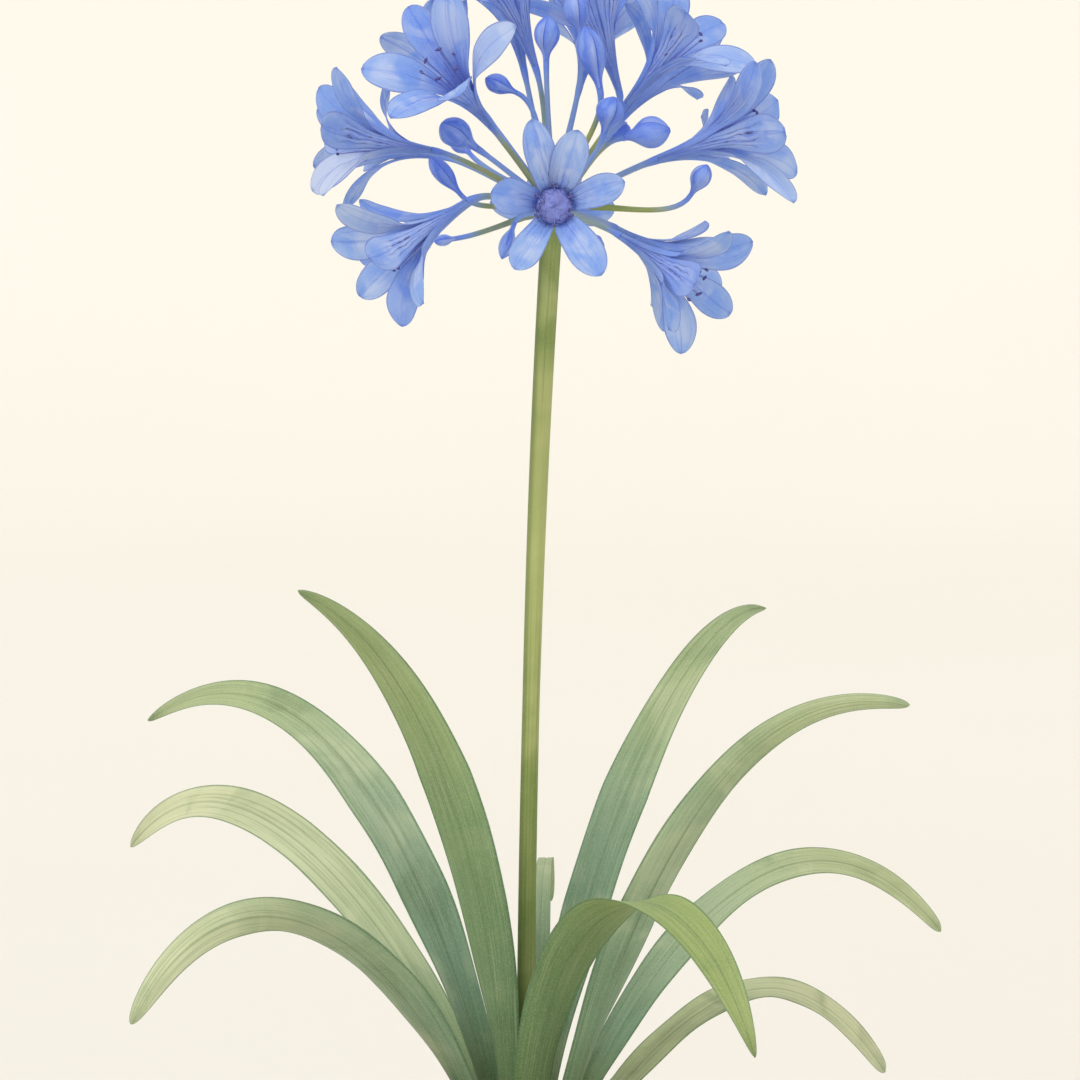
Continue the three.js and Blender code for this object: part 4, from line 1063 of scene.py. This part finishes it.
def wall_radius(height):
    return mixed(POT_BASE_RADIUS, POT_RIM_RADIUS - RIM_BAND_STEP, height / POT_HEIGHT)


def wall_points(heights, inset=0.0):
    """Points of a profile that follow the pot's outer wall, set in from it."""
    return [(wall_radius(height) - inset, height) for height in heights]


def corner_arc(centre, radius, start, end, steps=5):
    """Points of an arc in a profile, [radius, height], between two angles in degrees."""
    angle = np.radians(np.linspace(start, end, steps + 1))
    return [(centre[0] + radius * math.cos(a), centre[1] + radius * math.sin(a)) for a in angle]


def turned(name, profile, sides, paint):
    """A profile of [radius, height] turned about +Z, with both its ends on the axis."""
    mesh = bpy.data.meshes.new(name)
    inner = np.array(profile[1:-1], float)
    angle = whole_turn(sides)
    grid = stacked(inner[:, :1] * np.cos(angle), inner[:, :1] * np.sin(angle), inner[:, 1:])
    index = np.arange(len(inner) * sides).reshape(len(inner), sides)
    points = np.vstack([grid.reshape(-1, 3), (0, 0, profile[0][1]), (0, 0, profile[-1][1])])
    first, last = len(points) - 2, len(points) - 1
    fans = [(first, int(b), int(a)) for a, b in zip(index[0], np.roll(index[0], -1))]
    fans += [(last, int(a), int(b)) for a, b in zip(index[-1], np.roll(index[-1], -1))]
    mesh.from_pydata((points * MM).tolist(), [], ring_quads(index).tolist() + fans)
    mesh.materials.append(material(paint))
    return mesh


def pot_piece():
    band = POT_HEIGHT - RIM_BAND_HEIGHT
    lip = wall_radius(POT_HEIGHT) - POT_WALL
    shoulder, bend = POT_HEIGHT - EDGE_ROUNDING, POT_FLOOR + INNER_ROUNDING
    profile = [(0, 0), (POT_BASE_RADIUS - 3, 0)]
    profile += corner_arc((POT_BASE_RADIUS - 2.2, EDGE_ROUNDING), EDGE_ROUNDING, -80, 0)
    profile += wall_points(np.linspace(8, band - 3, 12))
    profile += corner_arc((wall_radius(band) + 1.6, band - NECK_ROUNDING), NECK_ROUNDING, 180, 90, 4)
    profile += corner_arc((POT_RIM_RADIUS - BAND_ROUNDING, band + BAND_ROUNDING), BAND_ROUNDING, -90, 0)
    profile += [(POT_RIM_RADIUS + 0.25, band + RIM_BAND_HEIGHT / 2)]
    profile += corner_arc((POT_RIM_RADIUS - EDGE_ROUNDING, shoulder), EDGE_ROUNDING, 0, 90)
    profile += corner_arc((lip + EDGE_ROUNDING, shoulder), EDGE_ROUNDING, 90, 180)
    profile += wall_points(np.linspace(POT_HEIGHT - 10, bend, 8), POT_WALL)
    profile += corner_arc((wall_radius(POT_FLOOR) - POT_WALL - INNER_ROUNDING, bend), INNER_ROUNDING, 0, -90)
    profile += [(0, POT_FLOOR)]
    piece = finished("clay_pot", turned("clay_pot", profile, POT_SIDES, "clay"), 40)
    for hole in range(DRAIN_HOLES):
        out = direction(90 + 360 / DRAIN_HOLES * hole, 0)
        bpy.ops.mesh.primitive_cylinder_add(
            vertices=40, radius=DRAIN_HOLE_RADIUS * MM, depth=4 * POT_FLOOR * MM,
            location=out * DRAIN_HOLE_RING * MM,
        )
        drill = bpy.context.object
        cut = piece.modifiers.new("drain_hole", "BOOLEAN")
        cut.operation, cut.object, cut.solver = "DIFFERENCE", drill, "EXACT"
        bpy.context.view_layer.objects.active = piece
        bpy.ops.object.modifier_apply(modifier=cut.name)
        bpy.data.objects.remove(drill)
    dressed(piece, "terracotta", "pot")


def soil_height(x, y):
    """The crumbly surface, above the soil's level: broad swells, and a dip where the plant stands."""
    broad = np.sin(x * 0.13 + 0.8) * np.cos(y * 0.11 - 0.4)
    fine = np.sin(x * 0.37 - y * 0.29) * np.sin(y * 0.41 + x * 0.17 + 1)
    small = np.sin(x * 1.1 + y * 0.7) * np.sin(y * 1.3 - x * 0.5 + 2)
    crown = eased(np.hypot(x, y), PLANT_HOLE_RADIUS + 4, PLANT_HOLE_RADIUS - 6)
    return 1.6 * (0.55 * broad + 0.45 * fine) + 0.35 * small - 3.5 * crown


def soil_piece():
    inset = POT_WALL + SOIL_TO_WALL
    edge = wall_radius(SOIL_LEVEL) - inset
    foot = POT_FLOOR + SOIL_TO_FLOOR
    profile = [(0, foot)] + wall_points([foot], inset + INNER_ROUNDING)
    profile += wall_points([foot + INNER_ROUNDING], inset)
    profile += [(radius, SOIL_LEVEL) for radius in np.linspace(edge, 3, 60)] + [(0, SOIL_LEVEL)]
    mesh = turned("potting_soil", profile, SOIL_SIDES, "compost")
    points = np.zeros(len(mesh.vertices) * 3)
    mesh.vertices.foreach_get("co", points)
    points = points.reshape(-1, 3) / MM
    top = points[:, 2] > SOIL_LEVEL - 1
    wild = np.random.default_rng(SOIL_SEED)
    rough = wild.normal(0, 0.28, len(points))
    points[top, 2] += (soil_height(points[:, 0], points[:, 1]) + rough)[top]
    mesh.vertices.foreach_set("co", (points * MM).ravel())
    dressed(finished("potting_soil", mesh, 180), "soil", "soil")


def crumb_piece(count):
    """Loose crumbs of compost, spread evenly over the soil and sunk well in."""
    wild = random.Random(CRUMB_SEED)
    work = bmesh.new()
    edge = wall_radius(SOIL_LEVEL) - POT_WALL - 4
    for _ in range(count):
        radius = math.sqrt(wild.uniform(CRUMBS_START**2, edge**2))
        bearing = wild.uniform(0, 2 * math.pi)
        size = wild.uniform(*CRUMB_RADII)
        x, y = radius * math.cos(bearing), radius * math.sin(bearing)
        z = SOIL_LEVEL + float(soil_height(x, y)) + 0.25 * size
        made = bmesh.ops.create_icosphere(work, subdivisions=2 if size > 1.7 else 1, radius=size)
        squash = (wild.uniform(0.7, 1.2), wild.uniform(0.7, 1.2), wild.uniform(0.5, 0.9))
        for vertex in made["verts"]:
            knob = wild.uniform(0.82, 1.12)
            place = [value * part * knob for value, part in zip(vertex.co, squash)]
            vertex.co = Vector((place[0] + x, place[1] + y, place[2] + z)) * MM
    mesh = bpy.data.meshes.new("soil_crumbs")
    work.to_mesh(mesh)
    work.free()
    mesh.materials.append(material("compost"))
    dressed(finished("soil_crumbs", mesh, 60), "soil", "soil")


# ---- floor, light and camera

FLOOR_RADIUS, SWEEP_RADIUS, BACKDROP_HEIGHT, BACKDROP_THICKNESS = 4300, 2200, 2600, 50
LOOKED_AT = (6.6, 0.0, 415.4)
CAMERA_DISTANCE = 2200.0
CAMERA_RISE = 5.0
VIEW_WIDTH = 475.2
SENSOR_WIDTH = 36.0


def backdrop():
    """A round floor that sweeps up into a low wall, far outside any camera's place."""
    inside = FLOOR_RADIUS + SWEEP_RADIUS
    outside = inside + BACKDROP_THICKNESS
    profile = [(0, 0)] + [(radius, 0) for radius in np.linspace(400, FLOOR_RADIUS, 10)]
    profile += corner_arc((FLOOR_RADIUS, SWEEP_RADIUS), SWEEP_RADIUS, -90, 0, 24)[1:]
    profile += [(inside, BACKDROP_HEIGHT), (outside, BACKDROP_HEIGHT)]
    profile += [(outside, -BACKDROP_THICKNESS), (0, -BACKDROP_THICKNESS)]
    piece = finished("backdrop", turned("backdrop", profile, 160, "floor"), 30)


def sun(name, bearing, rise, strength, softness, colour):
    light = bpy.data.lights.new(name, "SUN")
    light.energy = strength
    light.angle = math.radians(softness)
    light.color = colour
    lamp = bpy.data.objects.new(name, light)
    lamp.rotation_mode = "QUATERNION"
    lamp.rotation_quaternion = Vector(direction(bearing, rise)).to_track_quat("Z", "Y")
    bpy.context.scene.collection.objects.link(lamp)


def studio(scene):
    sizes, colours = scene.agapanthus_sizes, scene.agapanthus_colours
    world = bpy.data.worlds.new("soft_sky")
    world.use_nodes = True
    sky = world.node_tree.nodes["Background"]
    sky.inputs["Color"].default_value = (*colours.sky, 1.0)
    sky.inputs["Strength"].default_value = sizes.sky_strength
    scene.world = world
    sun("key", -125, 45, sizes.key_power, 35, (1.0, 0.98, 0.94))
    sun("fill", -40, 25, sizes.fill_power, 50, (0.9, 0.96, 1.0))
    sun("rim", 75, 50, sizes.rim_power, 40, (1.0, 0.98, 0.95))


def camera(scene):
    lens = bpy.data.cameras.new("front_camera")
    lens.sensor_width = SENSOR_WIDTH
    lens.lens = SENSOR_WIDTH * CAMERA_DISTANCE / VIEW_WIDTH
    lens.clip_start, lens.clip_end = 0.05, 100.0
    seen = bpy.data.objects.new("front_camera", lens)
    back = Vector(direction(-90, CAMERA_RISE))
    seen.location = (Vector(LOOKED_AT) + back * CAMERA_DISTANCE) * MM
    seen.rotation_mode = "QUATERNION"
    seen.rotation_quaternion = (-back).to_track_quat("-Z", "Y")
    scene.collection.objects.link(seen)
    scene.camera = seen
    scene.view_settings.view_transform = "Standard"


# ---- settings


def colour_setting(name, description, red, green, blue):
    return FloatVectorProperty(
        name=name, description=description, subtype="COLOR", size=3, min=0, max=1,
        default=swatch(red, green, blue),
    )


def thickness(name, description, millimetres):
    return FloatProperty(
        name=name, description=description, unit="LENGTH", precision=5, min=0, default=millimetres * MM
    )


def count_setting(name, description, default, least):
    return IntProperty(name=name, description=description, default=default, min=least)


def light_setting(name, description, default):
    return FloatProperty(name=name, description=description, default=default, min=0)


class AgapanthusColours(bpy.types.PropertyGroup):
    """The plant's paints."""

    petal_light: colour_setting("Petal light", "The lighter wash of the petals", 158, 182, 240)
    petal_middle: colour_setting("Petal middle", "The usual wash of the petals", 132, 164, 240)
    petal_deep: colour_setting("Petal deep", "Streaks and deep washes on the petals", 82, 118, 224)
    petal_edge: colour_setting("Petal edge", "The thin dark line of a petal's edge", 68, 90, 190)
    petal_pale: colour_setting("Petal pale", "The palest wash, in the middle of a petal", 194, 207, 243)
    petal_violet: colour_setting("Petal violet", "The lighter violet of the throat's cushion", 136, 148, 222)
    throat: colour_setting("Throat", "The hollow of an open flower, and the stamens' threads", 130, 138, 210)
    throat_line: colour_setting("Throat line", "The dark lines in the throat, and the anthers", 72, 62, 118)
    leaf_deep: colour_setting("Leaf deep", "The foot, rib and edges of the leaves", 76, 112, 70)
    leaf_middle: colour_setting("Leaf middle", "The usual green of the leaves", 138, 164, 108)
    leaf_blue: colour_setting("Leaf blue", "The blue cast of some leaves", 112, 152, 132)
    leaf_under: colour_setting("Leaf under", "The green of the leaves' lower faces", 122, 160, 92)
    leaf_yellow: colour_setting("Leaf yellow", "The yellow cast towards the leaves' tips", 160, 174, 96)
    leaf_light: colour_setting("Leaf light", "Leaf tips and pale streaks", 220, 224, 186)
    stalk_light: colour_setting("Stalk light", "Pale streaks on the stalks", 184, 190, 124)
    stalk_middle: colour_setting("Stalk middle", "The usual green of the stalks", 134, 152, 84)
    stalk_deep: colour_setting("Stalk deep", "The shaded side of the stalks", 92, 114, 60)
    stalk_blue: colour_setting("Stalk blue", "Stalks that take the flower's blue", 132, 166, 238)
    clay: colour_setting("Clay", "The pot's usual colour", 196, 124, 88)
    clay_deep: colour_setting("Clay deep", "Darker mottling of the clay", 170, 98, 66)
    clay_pale: colour_setting("Clay pale", "Lime bloom and pale specks", 220, 178, 148)
    soil: colour_setting("Soil", "Moist compost", 84, 64, 48)
    soil_deep: colour_setting("Soil deep", "Hollows between the crumbs", 46, 34, 26)
    soil_pale: colour_setting("Soil pale", "Fibres in the compost", 140, 112, 82)
    floor: colour_setting("Floor", "The plain floor and backdrop", 238, 235, 227)
    floor_shade: colour_setting("Floor shade", "The floor's faint clouding", 236, 231, 220)
    sky: colour_setting("Sky", "The light from all round", 255, 253, 250)


class AgapanthusSizes(bpy.types.PropertyGroup):
    """How finely the plant is built, and how it is lit."""

    leaf_edge: thickness("Leaf edge", "Thickness of a leaf's edge", 0.45)
    leaf_middle: thickness("Leaf middle", "Thickness along a leaf's middle", 1.9)
    leaf_rows: count_setting("Leaf rows", "Rings along a leaf", 90, 20)
    tepal_edge: thickness("Petal edge", "Thickness of a petal's edge", 0.22)
    tepal_middle: thickness("Petal middle", "Thickness of a petal's middle", 0.7)
    tepal_rows: count_setting("Petal rows", "Rings along a petal", 34, 10)
    bud_rows: count_setting("Bud rows", "Rings along a bud", 30, 10)
    stem_rows: count_setting("Stem rows", "Rings along the scape", 80, 10)
    crumbs: count_setting("Crumbs", "Loose crumbs on the soil", 520, 0)
    sky_strength: light_setting("Sky strength", "Light from all round", 0.6)
    key_power: light_setting("Key strength", "The soft light from the front left", 1.35)
    fill_power: light_setting("Fill strength", "The soft light from the right", 0.6)
    rim_power: light_setting("Rim strength", "The soft light from behind", 0.4)


# ---- operators and panel


class AGAPANTHUS_OT_stage(bpy.types.Operator):
    """Adds the floor, the soft lights and the camera"""

    bl_idname = "agapanthus.stage"
    bl_label = "Stage"

    def execute(self, context):
        backdrop()
        studio(context.scene)
        camera(context.scene)
        return {"FINISHED"}


class AGAPANTHUS_OT_pot(bpy.types.Operator):
    """Turns the clay pot"""

    bl_idname = "agapanthus.pot"
    bl_label = "Pot"

    def execute(self, context):
        pot_piece()
        return {"FINISHED"}


class AGAPANTHUS_OT_soil(bpy.types.Operator):
    """Fills the pot with soil and crumbs"""

    bl_idname = "agapanthus.soil"
    bl_label = "Soil"

    def execute(self, context):
        soil_piece()
        crumb_piece(context.scene.agapanthus_sizes.crumbs)
        return {"FINISHED"}


class AGAPANTHUS_OT_leaves(bpy.types.Operator):
    """Grows the strap leaves"""

    bl_idname = "agapanthus.leaves"
    bl_label = "Leaves"

    def execute(self, context):
        for name, row in LEAVES.items():
            leaf_piece(name, row, context.scene.agapanthus_sizes)
        return {"FINISHED"}


class AGAPANTHUS_OT_stem(bpy.types.Operator):
    """Grows the scape, its head and the flower stalks"""

    bl_idname = "agapanthus.stem"
    bl_label = "Stem"

    def execute(self, context):
        scape_piece(context.scene.agapanthus_sizes)
        return {"FINISHED"}


class AGAPANTHUS_OT_blooms(bpy.types.Operator):
    """Opens the flowers, with their stamens"""

    bl_idname = "agapanthus.blooms"
    bl_label = "Open flowers"

    def execute(self, context):
        draw = PlantDraw(PLANT_SEED)
        for index, row in enumerate(FLOWERS):
            bloom_pieces(index, row, draw, context.scene.agapanthus_sizes)
        return {"FINISHED"}


class AGAPANTHUS_OT_buds(bpy.types.Operator):
    """Sets the shut buds on their stalks"""

    bl_idname = "agapanthus.buds"
    bl_label = "Buds"

    def execute(self, context):
        for index, row in enumerate(BUDS):
            bud_piece(index, row, context.scene.agapanthus_sizes)
        return {"FINISHED"}


class AGAPANTHUS_PT_panel(bpy.types.Panel):
    """Lists the plant's steps and settings"""

    bl_label = "Agapanthus"
    bl_space_type = "VIEW_3D"
    bl_region_type = "UI"
    bl_category = "Agapanthus"

    def draw(self, context):
        for operator in OPERATORS:
            self.layout.operator(operator.bl_idname)
        for settings in (context.scene.agapanthus_sizes, context.scene.agapanthus_colours):
            column = self.layout.column(align=True)
            for name in settings.__annotations__:
                column.prop(settings, name)


OPERATORS = (
    AGAPANTHUS_OT_stage,
    AGAPANTHUS_OT_pot,
    AGAPANTHUS_OT_soil,
    AGAPANTHUS_OT_leaves,
    AGAPANTHUS_OT_stem,
    AGAPANTHUS_OT_blooms,
    AGAPANTHUS_OT_buds,
)
CLASSES = (AgapanthusColours, AgapanthusSizes, *OPERATORS, AGAPANTHUS_PT_panel)


def register():
    for cls in CLASSES:
        bpy.utils.register_class(cls)
    bpy.types.Scene.agapanthus_colours = PointerProperty(type=AgapanthusColours)
    bpy.types.Scene.agapanthus_sizes = PointerProperty(type=AgapanthusSizes)


def unregister():
    del bpy.types.Scene.agapanthus_sizes
    del bpy.types.Scene.agapanthus_colours
    for cls in reversed(CLASSES):
        bpy.utils.unregister_class(cls)


def main():
    register()
    bpy.ops.agapanthus.stage()
    bpy.ops.agapanthus.pot()
    bpy.ops.agapanthus.soil()
    bpy.ops.agapanthus.leaves()
    bpy.ops.agapanthus.stem()
    bpy.ops.agapanthus.blooms()
    bpy.ops.agapanthus.buds()


if __name__ == "__main__":
    main()
